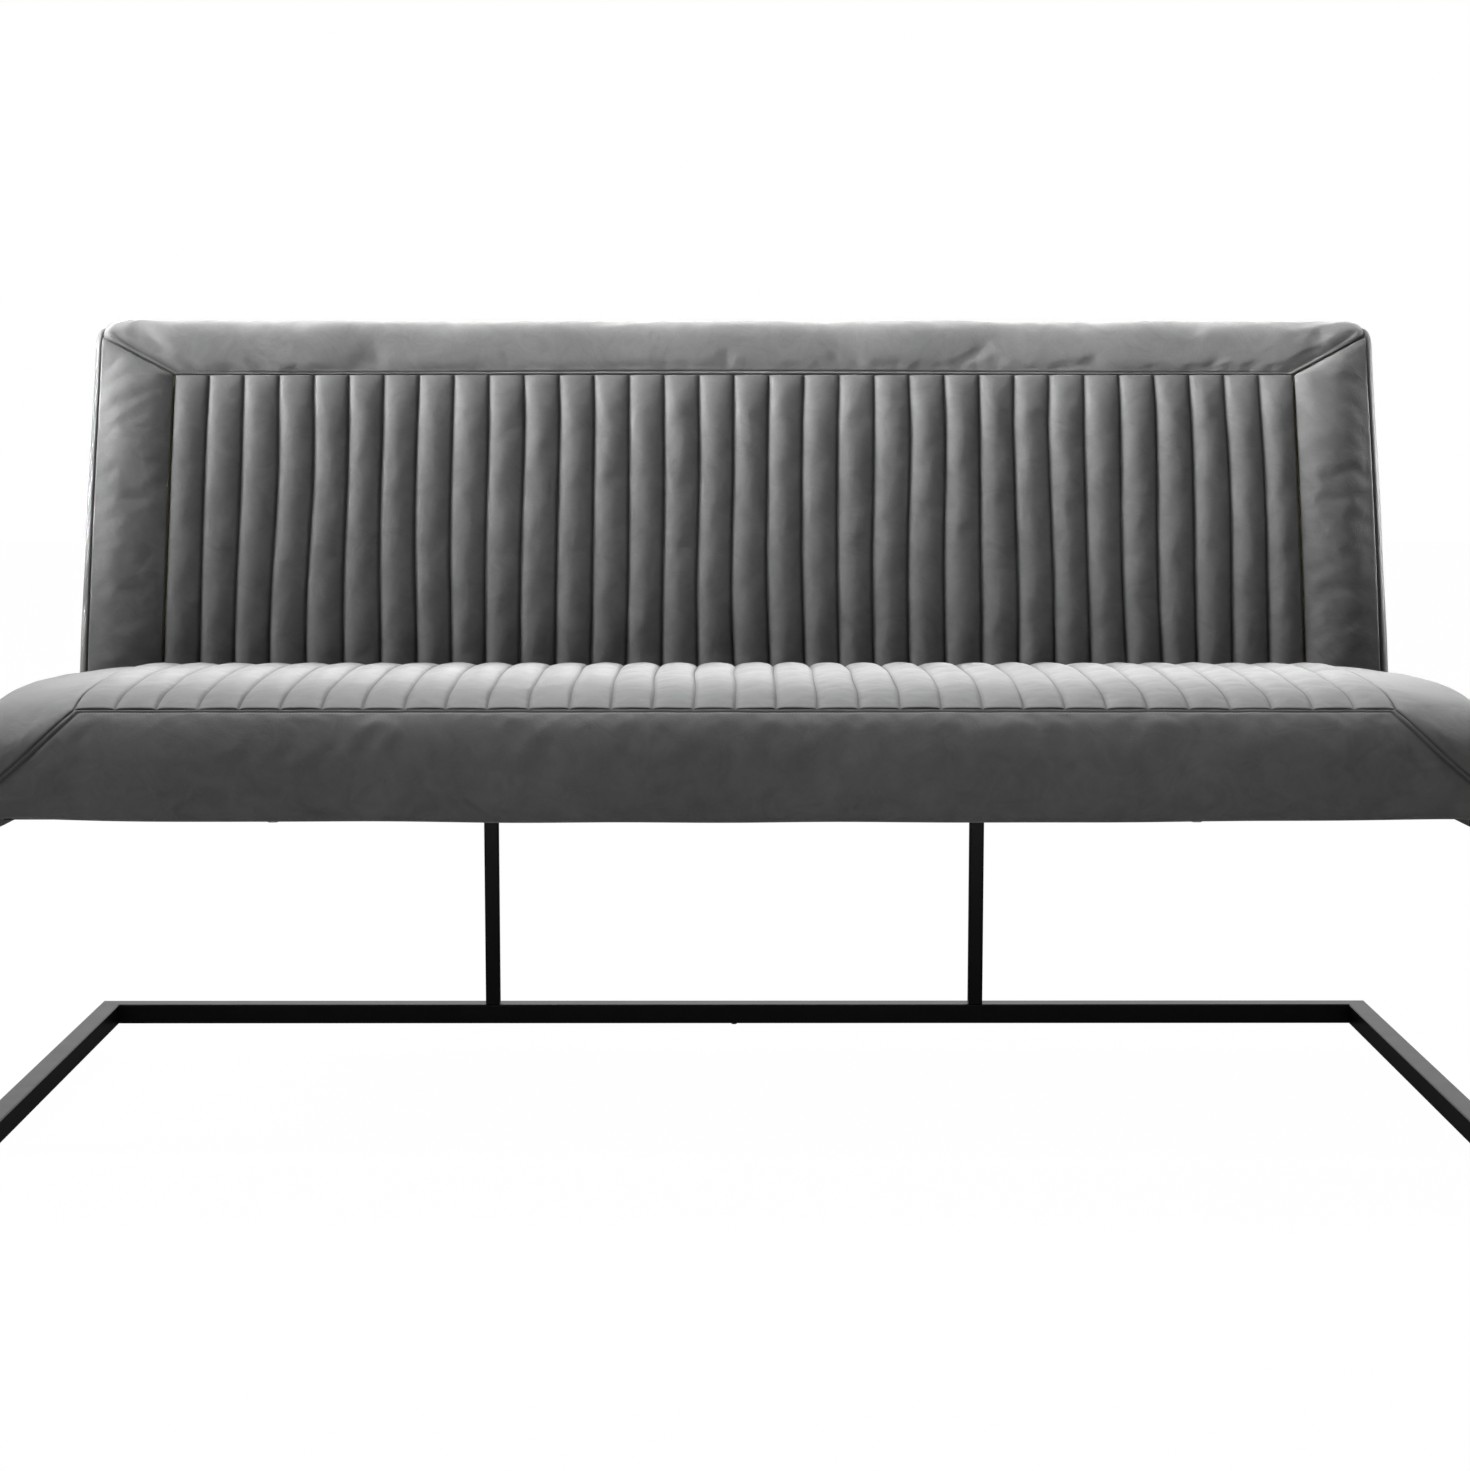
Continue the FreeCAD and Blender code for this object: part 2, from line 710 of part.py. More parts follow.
def back_body(inset, base, round_shares, bulge_shares):
    round_start = back_face_half - back_side_round
    side = [(round_start + back_side_round * x_share, back_pinch_drop * drop_share, 0)
            for x_share, drop_share in round_shares]
    side += [(back_face_half + back_bulge * x_share, back_pinch_drop * drop_share, pinch_share)
             for x_share, drop_share, pinch_share in bulge_shares]
    stations = [(-x, drop, pinch) for x, drop, pinch in reversed(side)] + side
    sections = []
    for x, drop, pinch in stations:
        corners = back_corners(inset, drop, pinch, base)
        sections.append(section(x - math.copysign(inset, x), straightened(corners) if inset else corners))
    return Part.makeLoft(sections, True, True)


back_hollow = back_body(cover, back_base - overrun, inner_round_shares, inner_bulge_shares)
back_shell = back_body(0, back_base, outer_round_shares, outer_bulge_shares).cut(back_hollow)
high = overall_height + overrun
low = back_base - 2 * overrun
ahead = front_y(low) - overrun
behind = back_rear_y + overrun
split_top_y = back_rear_y - back_top_setback
split_foot_y = (back_foot_y + back_rear_foot_y) / 2
split_lean = (split_top_y - split_foot_y) / (overall_height - back_base)


def split_y(z):
    return split_foot_y + (z - back_base) * split_lean


def front_half(shift):
    outline = [(ahead, low), (split_y(low) + shift, low), (split_y(high) + shift, high), (ahead, high)]
    return side_prism(outline, -seat_half, seat_half)


def top_zone(widening):
    """The front view of the top border: straight above the channels, mitred up to the upper corners."""
    seam = back_seam_height - widening
    rise = (mitre_top_height - back_seam_height) / (back_face_half - field_half)
    reach = back_half + overrun
    outline = [(-field_half, seam), (field_half, seam), (reach, seam + (reach - field_half) * rise),
               (reach, high), (-reach, high), (-reach, seam + (reach - field_half) * rise)]
    return front_prism(outline, ahead, behind)


face_zone = box(-back_face_half + half_gap, back_face_half - half_gap, ahead, behind, low, high)
front_shell = back_shell.common(front_half(0))
rear_shell = back_shell.cut(front_half(0))
rear_seam_z = back_rear_height
above_rear_seam = box(-back_face_half + half_gap, back_face_half - half_gap, ahead, behind,
                      rear_seam_z + half_gap, high)
top_front = front_shell.common(face_zone).common(top_zone(-half_gap))
top_rear = rear_shell.common(above_rear_seam)
save(top_front.fuse(top_rear).removeSplitter(), "back_top_border")
below_rear_seam = box(-back_face_half + half_gap, back_face_half - half_gap, ahead, behind,
                      low, rear_seam_z - half_gap)
save(rear_shell.common(below_rear_seam), "back_rear_panel")

side_strip = box(field_half + half_gap, back_face_half - half_gap, ahead, behind, low, high)
back_side_border = front_shell.common(side_strip).cut(top_zone(half_gap))
save(back_side_border, "back_right_border")
save(mirrored(back_side_border), "back_left_border")

end_strip = box(back_face_half + half_gap, back_half + overrun, ahead, behind, low, high)
end_gusset = back_shell.common(end_strip)
save(end_gusset, "back_right_gusset")
save(mirrored(end_gusset), "back_left_gusset")

back_channel_shares = [(0.0, 0.95), (0.5, 1.0), (0.95, 0.95), (1.0, 0.4)]


def back_face_y(z, inset):
    """The front face at z: the arc of the side profile between its foot and the seam."""
    foot, seam = back_corners(inset, 0, 0, back_base)[:2]
    circle = bowed_edge(V(0, foot[0], foot[1]), V(0, seam[0], seam[1]), back_crown_share).Curve
    return circle.Center.y - math.sqrt(circle.Radius ** 2 - (z - circle.Center.z) ** 2)


def back_channel_panel():
    top = back_seam_height - half_gap
    wires = []
    for z_share, ridge_share in back_channel_shares:
        z = back_base + (top - back_base) * z_share
        grooves = [V(limited(x), back_face_y(z, 0), z) for x in groove_xs]
        backs = [V(x, back_face_y(z, cover), z) for x in (panel_half, -panel_half)]
        wires.append(channel_wire(grooves, backs, back_ridge * ridge_share, V(0, -1, 0)))
    return Part.makeLoft(wires, True, True)


back_panel = back_channel_panel()
save(back_panel, "back_channel_panel")


# Inside the back: posts, board, foam and wadding

def lean_slab(front_shift, back_shift, z_low, z_high, half):
    """A leaning slab between two planes parallel to the back board's front face."""
    outline = [(board_front_y(z_low) + front_shift, z_low), (board_front_y(z_low) + back_shift, z_low),
               (board_front_y(z_high) + back_shift, z_high), (board_front_y(z_high) + front_shift, z_high)]
    return side_prism(outline, -half, half)


screw_places = [(x, back_base + (overall_height - back_base) * share)
                for x in post_xs for share in screw_height_shares]


def level_cylinder(radius, x, y, z, length):
    return Part.makeCylinder(radius, length, V(x, y, z), V(0, 1, 0))


def back_screw(x, z):
    """A screw through the post into the board; its level head bears on the leaning post with one edge."""
    face = board_front_y(z) - post_thickness
    head = level_six_sided(screw_head_radius, screw_head_height, x, face - screw_head_height, z)
    shank = level_cylinder(screw_radius, x, face, z, post_thickness + back_board_thickness / 2)
    return head.fuse(shank).removeSplitter()


screw_hole_radius = (screw_radius + thread_fit) / math.cos(math.pi / hexagon_sides)
screw_holes = [level_six_sided(screw_hole_radius, overrun + back_board_thickness - screw_radius,
                               x, board_front_y(z) - overrun, z) for x, z in screw_places]
for post, node in zip(post_solids(0), ("left_back_post", "right_back_post")):
    save(post.cut(screw_holes), node)

board_half = back_face_half - back_board_margin
back_board = lean_slab(0, back_board_thickness, back_base + soft_fit, back_board_top, board_half)
save(back_board.cut(screw_holes), "back_board")
save(Part.makeCompound([back_screw(x, z) for x, z in screw_places]), "back_screws")

inner_back = back_body(cover + soft_fit, back_base + soft_fit, inner_round_shares, inner_bulge_shares)
wadding = lean_slab(back_board_thickness + soft_fit, back_board_thickness + rear_wadding - soft_fit,
                    back_base + soft_fit, back_board_top, board_half)
save(wadding, "back_rear_wadding")
board_recess = lean_slab(-soft_fit, back_overhang, back_base - overrun, back_board_top + soft_fit,
                         board_half + soft_fit)
recess_half = screw_head_radius + soft_fit


def screw_recess(x, z):
    face = board_front_y(z) - post_thickness
    return box(x - recess_half, x + recess_half, face - screw_head_height - soft_fit, face + overrun,
               z - recess_half, z + recess_half)


screw_recesses = [screw_recess(x, z) for x, z in screw_places]
back_foam = inner_back.cut([board_recess] + post_solids(soft_fit) + screw_recesses)
back_foam = back_foam.cut(back_panel.translated(V(0, soft_fit, 0)))
save(back_foam, "back_foam")
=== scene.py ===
"""A dining bench with a back: channelled covers, finishes, stitching and studio round the CAD frame."""
import json
import math

import bmesh
import bpy
import numpy as np
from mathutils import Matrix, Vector
from mathutils.bvhtree import BVHTree


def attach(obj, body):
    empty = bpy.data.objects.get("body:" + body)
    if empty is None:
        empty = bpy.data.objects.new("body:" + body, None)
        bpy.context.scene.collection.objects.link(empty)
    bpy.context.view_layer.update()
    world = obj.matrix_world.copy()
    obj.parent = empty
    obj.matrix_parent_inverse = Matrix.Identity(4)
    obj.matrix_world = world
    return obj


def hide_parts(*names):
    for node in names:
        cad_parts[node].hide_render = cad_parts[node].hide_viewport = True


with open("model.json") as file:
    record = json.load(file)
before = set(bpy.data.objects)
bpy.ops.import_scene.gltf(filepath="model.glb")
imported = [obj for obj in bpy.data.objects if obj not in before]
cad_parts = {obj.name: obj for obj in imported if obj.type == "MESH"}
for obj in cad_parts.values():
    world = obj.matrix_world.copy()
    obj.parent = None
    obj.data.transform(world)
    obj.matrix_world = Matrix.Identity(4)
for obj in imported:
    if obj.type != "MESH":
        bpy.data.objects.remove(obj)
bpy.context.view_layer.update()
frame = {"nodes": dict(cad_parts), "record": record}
MM = 0.001


# Shader writing: a node tree that is filled with Python expressions

class Value:
    """A socket that takes part in sums and products."""

    def __init__(self, shader, socket):
        self.shader, self.socket = shader, socket

    def _with(self, operation, first, second):
        return self.shader.node("ShaderNodeMath", {"operation": operation}, {0: first, 1: second})

    def __add__(self, other):
        return self._with("ADD", self, other)

    def __sub__(self, other):
        return self._with("SUBTRACT", self, other)

    def __mul__(self, other):
        return self._with("MULTIPLY", self, other)

    def __rsub__(self, other):
        return self._with("SUBTRACT", other, self)

    __radd__, __rmul__ = __add__, __mul__


class Shader:
    """The node tree of one material, or of the world."""

    def __init__(self, name, owner=None, coordinate="Object"):
        self.material = owner or bpy.data.materials.new(name)
        self.material.use_nodes = True
        self.tree = self.material.node_tree
        self.tree.nodes.clear()
        self.place = self.node("ShaderNodeTexCoord", {}, {}, coordinate)

    def node(self, kind, settings, sockets, output=0):
        made = self.tree.nodes.new(kind)
        for key, value in settings.items():
            if key == "stops":
                while len(made.color_ramp.elements) < len(value):
                    made.color_ramp.elements.new(0.5)
                for element, (position, level) in zip(made.color_ramp.elements, value):
                    element.position, element.color = position, (level, level, level, 1)
            else:
                setattr(made, key, value)
        for key, value in sockets.items():
            if isinstance(value, Value):
                self.tree.links.new(value.socket, made.inputs[key])
            else:
                made.inputs[key].default_value = value
        return Value(self, made.outputs[output])

    def stretched(self, scale):
        return self.node("ShaderNodeMapping", {}, {"Vector": self.place, "Scale": scale})

    def noise(self, scale, detail=2.0, roughness=0.5, where=None, distortion=0.0):
        return self.node("ShaderNodeTexNoise", {}, {
            "Vector": where or self.place, "Scale": scale, "Detail": detail,
            "Roughness": roughness, "Distortion": distortion})

    def cells(self, scale):
        return self.node("ShaderNodeTexVoronoi", {}, {"Vector": self.place, "Scale": scale}, "Distance")

    def ramp(self, value, *stops):
        return self.node("ShaderNodeValToRGB", {"stops": stops}, {"Fac": value})

    def mix(self, share, low, high):
        return self.node("ShaderNodeMix", {"data_type": "RGBA"}, {0: share, 6: low, 7: high}, 2)

    def bump(self, height, distance, strength, normal=None):
        sockets = {"Height": height, "Distance": distance, "Strength": strength}
        if normal is not None:
            sockets["Normal"] = normal
        return self.node("ShaderNodeBump", {}, sockets)

    def finish(self, colour, roughness, normal=None, **constants):
        sockets = {"Base Color": colour, "Roughness": roughness}
        if normal is not None:
            sockets["Normal"] = normal
        sockets.update({key.replace("_", " "): value for key, value in constants.items()})
        surface = self.node("ShaderNodeBsdfPrincipled", {}, sockets)
        self.output(surface)
        return self.material

    def output(self, surface, kind="ShaderNodeOutputMaterial"):
        end = self.tree.nodes.new(kind)
        self.tree.links.new(surface.socket, end.inputs["Surface"])

    def ray(self, name):
        return self.node("ShaderNodeLightPath", {}, {}, name)


def grey(level):
    return (level, level, level, 1)


def upholstery():
    """Grey suede-like microfibre: cloudy mottling, bruises, pale scuffs and a fine nap, with painted shade
    darkening its seams and topstitches.
    """
    s = Shader("grey_microfibre")
    clouds = s.ramp(s.noise(6.5, 5, 0.62, distortion=0.9), (0.30, 0), (0.70, 1))
    blotches = s.ramp(s.noise(30, 6, 0.66, distortion=1.2), (0.32, 0), (0.68, 1))
    nap = s.noise(560, 3, 0.65)
    bruises = s.ramp(s.noise(15, 5, 0.7, distortion=0.6), (0.60, 0), (0.72, 1))
    streaks = s.noise(58, 6, 0.8, where=s.stretched((0.5, 1, 1.5)), distortion=2.2)
    scuffs = s.ramp(streaks, (0.60, 0), (0.76, 1))
    # The mesh attribute "seam" is painted shade: it darkens the colour by up to three quarters in the seam
    # grooves and beside the topstitches.
    seam = s.node("ShaderNodeAttribute", {"attribute_name": "seam"}, {}, "Fac")
    tone = (0.52 + 0.16 * clouds + 0.20 * blotches + 0.16 * nap) * (1 - 0.20 * bruises)
    tone = (tone + 0.10 * scuffs) * (1 - 0.75 * seam)
    colour = s.mix(tone, grey(0.015), grey(0.305))
    roughness = 0.50 + 0.10 * blotches + 0.10 * nap - 0.06 * scuffs
    pores = s.cells(900)
    relief = s.bump(nap * 0.6 + pores * 0.4, 0.0005, 0.35)
    relief = s.bump(blotches * 0.5 + clouds, 0.0016, 0.30, relief)
    return s.finish(colour, roughness, relief, Sheen_Weight=0.55, Sheen_Roughness=0.45,
                    Specular_IOR_Level=0.5)


def thread():
    s = Shader("grey_thread")
    twist = s.noise(2600, 2)
    colour = s.mix(twist, grey(0.03), grey(0.09))
    return s.finish(colour, 0.55 + 0.2 * twist, s.bump(twist, 0.0001, 0.5), Sheen_Weight=0.2)


def black_steel():
    """Matt black powder coat: fine orange peel, faint dust and slightly worn sheen."""
    s = Shader("matt_black_powder_coat")
    peel = s.noise(1500, 2, 0.5)
    waves = s.noise(240, 2, 0.5)
    dust = s.noise(28, 5, 0.65)
    colour = s.mix(dust, grey(0.0012), grey(0.0045))
    roughness = 0.25 + 0.10 * dust + 0.06 * peel
    relief = s.bump(peel * 0.7 + waves * 0.5, 0.00012, 0.5)
    return s.finish(colour, roughness, relief, Specular_IOR_Level=0.42)


PLY = 0.0017


def wood(name, pale, dark, stretch, layers=False):
    """Timber along x, with growth rings, pores and patches; plywood shows its plies on the edge."""
    s = Shader(name)
    along = s.stretched(stretch)
    rings = s.node("ShaderNodeTexWave", {"wave_type": "BANDS", "bands_direction": "Y"}, {
        "Vector": along, "Scale": 14, "Distortion": 9, "Detail": 3, "Detail Scale": 1.4})
    pores = s.noise(240, 3, 0.6, where=along)
    patches = s.noise(5, 3)
    mask = s.node("ShaderNodeSeparateColor", {}, {0: rings}, 0) * 0.55 + pores * 0.35 + patches * 0.25
    if layers:
        height = s.node("ShaderNodeSeparateXYZ", {}, {0: s.place}, 2)
        ply = s.node("ShaderNodeMath", {"operation": "PINGPONG"}, {0: height, 1: PLY}) * 260
        mask = mask * 0.8 + ply * 0.25
    colour = s.mix(mask, pale, dark)
    return s.finish(colour, 0.55 + 0.25 * pores, s.bump(pores + mask * 0.6, 0.0004, 0.5))


def dust_cloth():
    """Black non-woven cloth with its bonded dots and loose fibres."""
    s = Shader("black_nonwoven_cloth")
    fibres = s.noise(700, 5, 0.75, where=s.stretched((1, 0.25, 1)), distortion=2)
    dots = s.ramp(s.cells(420), (0.2, 1), (0.4, 0))
    colour = s.mix(fibres, grey(0.008), grey(0.05))
    return s.finish(colour, 0.8 + 0.15 * fibres, s.bump(fibres - dots * 0.6, 0.0004, 0.7), Sheen_Weight=0.15)


def foam():
    """Open-cell foam, a little yellowed in patches."""
    s = Shader("upholstery_foam")
    cells = s.cells(620)
    aged = s.noise(9, 4, 0.6)
    colour = s.mix(aged * 0.8 + cells * 0.4, (0.83, 0.79, 0.62, 1), (0.68, 0.58, 0.36, 1))
    return s.finish(colour, 0.85 + 0.1 * cells, s.bump(cells, 0.0008, 0.8), Sheen_Weight=0.1)


def zinc():
    """Zinc-plated steel with its faint spangle and a yellowish cast in places."""
    s = Shader("zinc_plated_steel")
    spangle = s.cells(380)
    stain = s.noise(120, 4, 0.6)
    colour = s.mix(stain, (0.60, 0.61, 0.62, 1), (0.50, 0.49, 0.43, 1))
    return s.finish(colour, 0.24 + 0.22 * spangle + 0.12 * stain, s.bump(stain, 0.0001, 0.4), Metallic=1.0)


def glide_plastic():
    s = Shader("black_moulded_plastic")
    grain = s.noise(1900, 2)
    scratches = s.noise(300, 4, 0.7, where=s.stretched((1, 1, 0.2)))
    colour = s.mix(scratches, grey(0.010), grey(0.035))
    return s.finish(colour, 0.42 + 0.2 * scratches, s.bump(grain, 0.0001, 0.5))


MICROFIBRE, THREAD, STEEL = upholstery(), thread(), black_steel()
FOAM = foam()
NODE_FINISHES = {
    "powder_coated_steel": STEEL,
    "foam": FOAM,
    "softwood": wood("planed_softwood", (0.66, 0.46, 0.25, 1), (0.36, 0.20, 0.09, 1), (0.12, 1, 1)),
    "plywood": wood("sanded_plywood", (0.68, 0.52, 0.33, 1), (0.43, 0.29, 0.16, 1), (0.15, 1, 1), True),
    "dust_cloth": dust_cloth(),
    "zinc_steel": zinc(),
    "glide_plastic": glide_plastic(),
    "grey_upholstery": MICROFIBRE,
}
for part in frame["record"]["subparts"]:
    mesh = frame["nodes"][part["node"]].data
    mesh.materials.clear()
    mesh.materials.append(NODE_FINISHES[part["material_slot"]])


# Small tools for sewn surfaces: grids of points, seams, puckers

def smooth_through(stations, levels, at):
    """A monotone smooth curve through the stations."""
    stations, levels = np.asarray(stations, float), np.asarray(levels, float)
    run = np.diff(stations)
    slope = np.diff(levels) / run
    tangent = np.zeros_like(levels)
    tangent[0], tangent[-1] = slope[0], slope[-1]
    both = slope[:-1] * slope[1:]
    total = slope[:-1] + slope[1:]
    tangent[1:-1] = np.where(both > 0, 2 * both / np.where(total == 0, 1, total), 0)
    at = np.clip(at, stations[0], stations[-1])
    k = np.clip(np.searchsorted(stations, at) - 1, 0, len(run) - 1)
    u = (at - stations[k]) / run[k]
    return ((1 + 2 * u) * (1 - u) ** 2 * levels[k] + u * (1 - u) ** 2 * run[k] * tangent[k]
            + u * u * (3 - 2 * u) * levels[k + 1] + u * u * (u - 1) * run[k] * tangent[k + 1])


WAVES, WAVES_PEAK = 9, 4.2


def ripple(points, wavelength, seed):
    """A smooth random field from about -1 to 1, the same each run."""
    dice = np.random.default_rng(seed)
    total = 0
    for _ in range(WAVES):
        direction = dice.normal(size=3)
        direction *= dice.uniform(0.6, 1.4) / np.linalg.norm(direction)
        phase = points @ direction * (2 * math.pi / wavelength)
        total = total + np.sin(phase + dice.uniform(0, 2 * math.pi))
    return total / WAVES_PEAK


def spaced(length, step, near_start=(), near_end=()):
    """Distances from 0 to length: given ones near the ends and even steps between."""
    first = list(near_start) or [0.0]
    last = [length - d for d in reversed(near_end)] or [length]
    room = last[0] - first[-1]
    count = max(1, round(room / step))
    return np.array(first + [first[-1] + room * k / count for k in range(1, count)] + last)


def grid_normals(points):
    down = np.gradient(points, axis=0)
    across = np.gradient(points, axis=1)
    normal = np.cross(across, down)
    return normal / np.maximum(np.linalg.norm(normal, axis=2, keepdims=True), 1e-12)


def relaxed(points, passes, keep_rows=(), keep_columns=(), share=0.5):
    """Evens out a grid's inner points and leaves the rows and columns that are kept."""
    hold = np.zeros(points.shape[:2], bool)
    hold[[0, -1], :] = True
    hold[:, [0, -1]] = True
    for row in keep_rows:
        hold[row, :] = True
    for column in keep_columns:
        hold[:, column] = True
    for _ in range(passes):
        mean = points.copy()
        mean[1:-1, 1:-1] = (points[:-2, 1:-1] + points[2:, 1:-1] + points[1:-1, :-2] + points[1:-1, 2:]) / 4
        points = np.where(hold[..., None], points, points + (mean - points) * share)
    return points


def run_length(line):
    """The distance along a row of points, from its first."""
    return np.concatenate([[0], np.cumsum(np.linalg.norm(np.diff(line, axis=0), axis=1))])


def column_length(points):
    """The distance of each point of a grid along its column, from the first row."""
    steps = np.linalg.norm(np.diff(points, axis=0), axis=2)
    return np.concatenate([np.zeros((1, points.shape[1])), np.cumsum(steps, axis=0)])


def apart(points, others):
    return np.linalg.norm(points - others, axis=2)


ROLL, ROLL_DEPTH = 2.2, 2.4
# The last of these is how dark the painted shade in a topstitch's groove is, beside that of the seam itself.
STITCH_LINE, STITCH_SINK, STITCH_SHADE_SHARE = 5.0, 1.9, 0.9


def seam_sink(distance, topstitched=True, depth=ROLL_DEPTH):
    """How deep the cover lies beside its sewn edge: rolled in at the edge, pulled in at a topstitch."""
    sink = depth * np.clip(1 - distance / ROLL, 0, 1) ** 2
    if topstitched:
        sink = sink + STITCH_SINK * np.exp(-(distance - STITCH_LINE) ** 2)
    return sink


def seam_mark(distance, width=1.5):
    """How much painted shade a point gets from a sewn line: 1 on it and less beside it, darkening the
    material's colour where the seam's groove lies in shade.
    """
    return np.exp(-(distance / width) ** 2)


def topstitch_mark(edge, stitched):
    """The painted shade in the grooves of a border's edge and of the topstitch beside it."""
    return np.maximum(seam_mark(edge, 1.4), STITCH_SHADE_SHARE * seam_mark(stitched - STITCH_LINE, 1.1))


def pulls(points, stretch, wavelength, seed, height, distance, reach):
    """Small pulls of the cloth across a seam, highest at their reach from it."""
    return height * ripple(points * stretch, wavelength, seed) * np.exp(-((distance - reach) / reach) ** 2)


SETTLE_FRAMES = 20
EDGE_STEPS = (0.0, 0.8, 1.8, 3.0, 4.1, 5.0, 5.9, 7.2, 9.5, 13.0)
FOLD_STEPS = (0.0, 0.8, 1.8, 3.0, 5.0, 8.5)


def placed(name, data):
    """A new object of the scene."""
    item = bpy.data.objects.new(name, data)
    bpy.context.scene.collection.objects.link(item)
    return item


def mesh_object(name, points, faces, material, seam=None):
    mesh = bpy.data.meshes.new(name)
    mesh.from_pydata([tuple(p) for p in points], [], faces)
    mesh.materials.append(material)
    # The seam attribute holds painted shade for the seam grooves and topstitches, read by the cover's
    # material.
    if seam is not None:
        layer = mesh.attributes.new("seam", "FLOAT", "POINT")
        layer.data.foreach_set("value", np.asarray(seam, np.float32).ravel())
    mesh.shade_smooth()
    mesh.update()
    return placed(name, mesh)


def grid_faces(rows, columns, skip=None):
    faces = []
    for i in range(rows - 1):
        for j in range(columns - 1):
            if skip is not None and skip[i, j]:
                continue
            a = i * columns + j
            faces.append((a, a + 1, a + columns + 1, a + columns))
    return faces


def weld(mesh, gap):
    """Joins the points of a mesh that lie within a small gap of each other."""
    work = bmesh.new()
    work.from_mesh(mesh)
    bmesh.ops.remove_doubles(work, verts=work.verts, dist=gap)
    work.to_mesh(mesh)
    work.free()


def applied(piece):
    """The piece's own mesh, once its modifiers are applied."""
    graph = bpy.context.evaluated_depsgraph_get()
    graph.update()
    mesh = bpy.data.meshes.new_from_object(piece.evaluated_get(graph))
    piece.modifiers.clear()
    old = piece.data
    piece.data = mesh
    mesh.name = piece.name
    mesh.shade_smooth()
    bpy.data.meshes.remove(old)
    return mesh


def settled(piece):
    """The piece with its modifiers applied and its faces turned outwards."""
    mesh = applied(piece)
    work = bmesh.new()
    work.from_mesh(mesh)
    bmesh.ops.remove_doubles(work, verts=work.verts, dist=1e-6)
    bmesh.ops.dissolve_degenerate(work, edges=work.edges, dist=1e-6)
    bmesh.ops.recalc_face_normals(work, faces=work.faces)
    work.to_mesh(mesh)
    work.free()
    return piece


def sewn(name, points_mm, seam, wall, skip=None, flip=False):
    """A closed piece of cover from a grid of outer points in mm: given a wall, then rounded."""
    rows, columns = points_mm.shape[:2]
    faces = grid_faces(rows, columns, skip)
    if flip:
        faces = [face[::-1] for face in faces]
    piece = mesh_object(name, points_mm.reshape(-1, 3) * MM, faces, MICROFIBRE, seam)
    weld(piece.data, 2e-5)
    thick = piece.modifiers.new("wall", "SOLIDIFY")
    thick.thickness, thick.offset, thick.use_even_offset = wall * MM, -1, False
    rounded = piece.modifiers.new("rounding", "SUBSURF")
    rounded.levels = rounded.render_levels = 1
    return settled(piece)


def sink_along(points, depth):
    """Moves a grid inwards along its own normals."""
    return points - grid_normals(points) * depth[..., None]


HELD_REACH, HELD_FADE, CLOTH_PRESSURE = 16.0, 9.0, 3.0


def pressed_out(points, distance, slack=0.010, cap=2.5):
    """The cover after a short cloth simulation: held along its seams and pressed out from inside."""
    rows, columns = points.shape[:2]
    cloth = mesh_object("trial_cloth", points.reshape(-1, 3) * MM, grid_faces(rows, columns), MICROFIBRE)
    hold = cloth.vertex_groups.new(name="hold")
    for index, share in enumerate(np.clip((HELD_REACH - distance) / HELD_FADE, 0, 1).ravel()):
        if share > 0:
            hold.add([index], float(share), "REPLACE")
    trial = cloth.modifiers.new("trial", "CLOTH")
    trial.settings.quality = 6
    trial.settings.mass = 0.25
    trial.settings.tension_stiffness = trial.settings.compression_stiffness = 12
    trial.settings.bending_stiffness = 0.4
    trial.settings.use_pressure, trial.settings.uniform_pressure_force = True, CLOTH_PRESSURE
    trial.settings.shrink_min = -slack
    trial.settings.vertex_group_mass = "hold"
    trial.settings.effector_weights.gravity = 0
    trial.collision_settings.use_collision = False
    trial.point_cache.frame_start, trial.point_cache.frame_end = 1, SETTLE_FRAMES
    scene = bpy.context.scene
    for step in range(1, SETTLE_FRAMES + 1):
        scene.frame_set(step)
    graph = bpy.context.evaluated_depsgraph_get()
    eased = cloth.evaluated_get(graph).to_mesh()
    places = np.empty(len(eased.vertices) * 3)
    eased.vertices.foreach_get("co", places)
    bpy.data.objects.remove(cloth, do_unlink=True)
    scene.frame_set(1)
    shift = places.reshape(points.shape) / MM - points
    reach = np.linalg.norm(shift, axis=2, keepdims=True)
    return points + shift * np.minimum(1.0, cap / np.maximum(reach, 1e-9))


def upholstered(piece, *nodes, fill=0.75, slot="grey_upholstery"):
    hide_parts(*nodes)
    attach(piece, "root")
    return piece


COVER_WALL, BORDER_WALL = 8.5, 3.0


def mirror_grid(points):
    return points * np.array([-1.0, 1.0, 1.0])


# Seat: its side profile and the way the profile changes towards the ends, in mm

FIELD_HALF, SEAT_HALF, LEG_LINE = 704.0, 827.0, 815.3
SEAT_DROP, SEAT_RETREAT, SEAT_CROWN = 60.0, 25.0, 0.5
SEAT_UNDERSIDE, SEAM_LEVEL, STAND_LEVEL, STAND_STEP, HEM_LIFT = 348.0, 471.0, 462.0, 4.0, 5.0
TURN_IN_Y, HEM_Y, NOSE_Y, SEAM_Y, BROW_Y = -303.0, -318.0, -332.5, -302.5, -245.0
HEM_Z, NOSE_Z, BROW_Z = 352.0, 420.0, 483.5
CUSHION_REAR, STAND_START, SEAT_REAR = 165.5, 169.5, 300.3
HEM_BACK, HEM, NOSE, FRONT_SEAM, BROW, CUSHION_END, STAND, REAR_TOP, REAR_FOOT = range(9)
SEAT_BOWS = np.array([0, 0.053, 0.138, 0.028, 0.028, 0, 0, 0, 0])


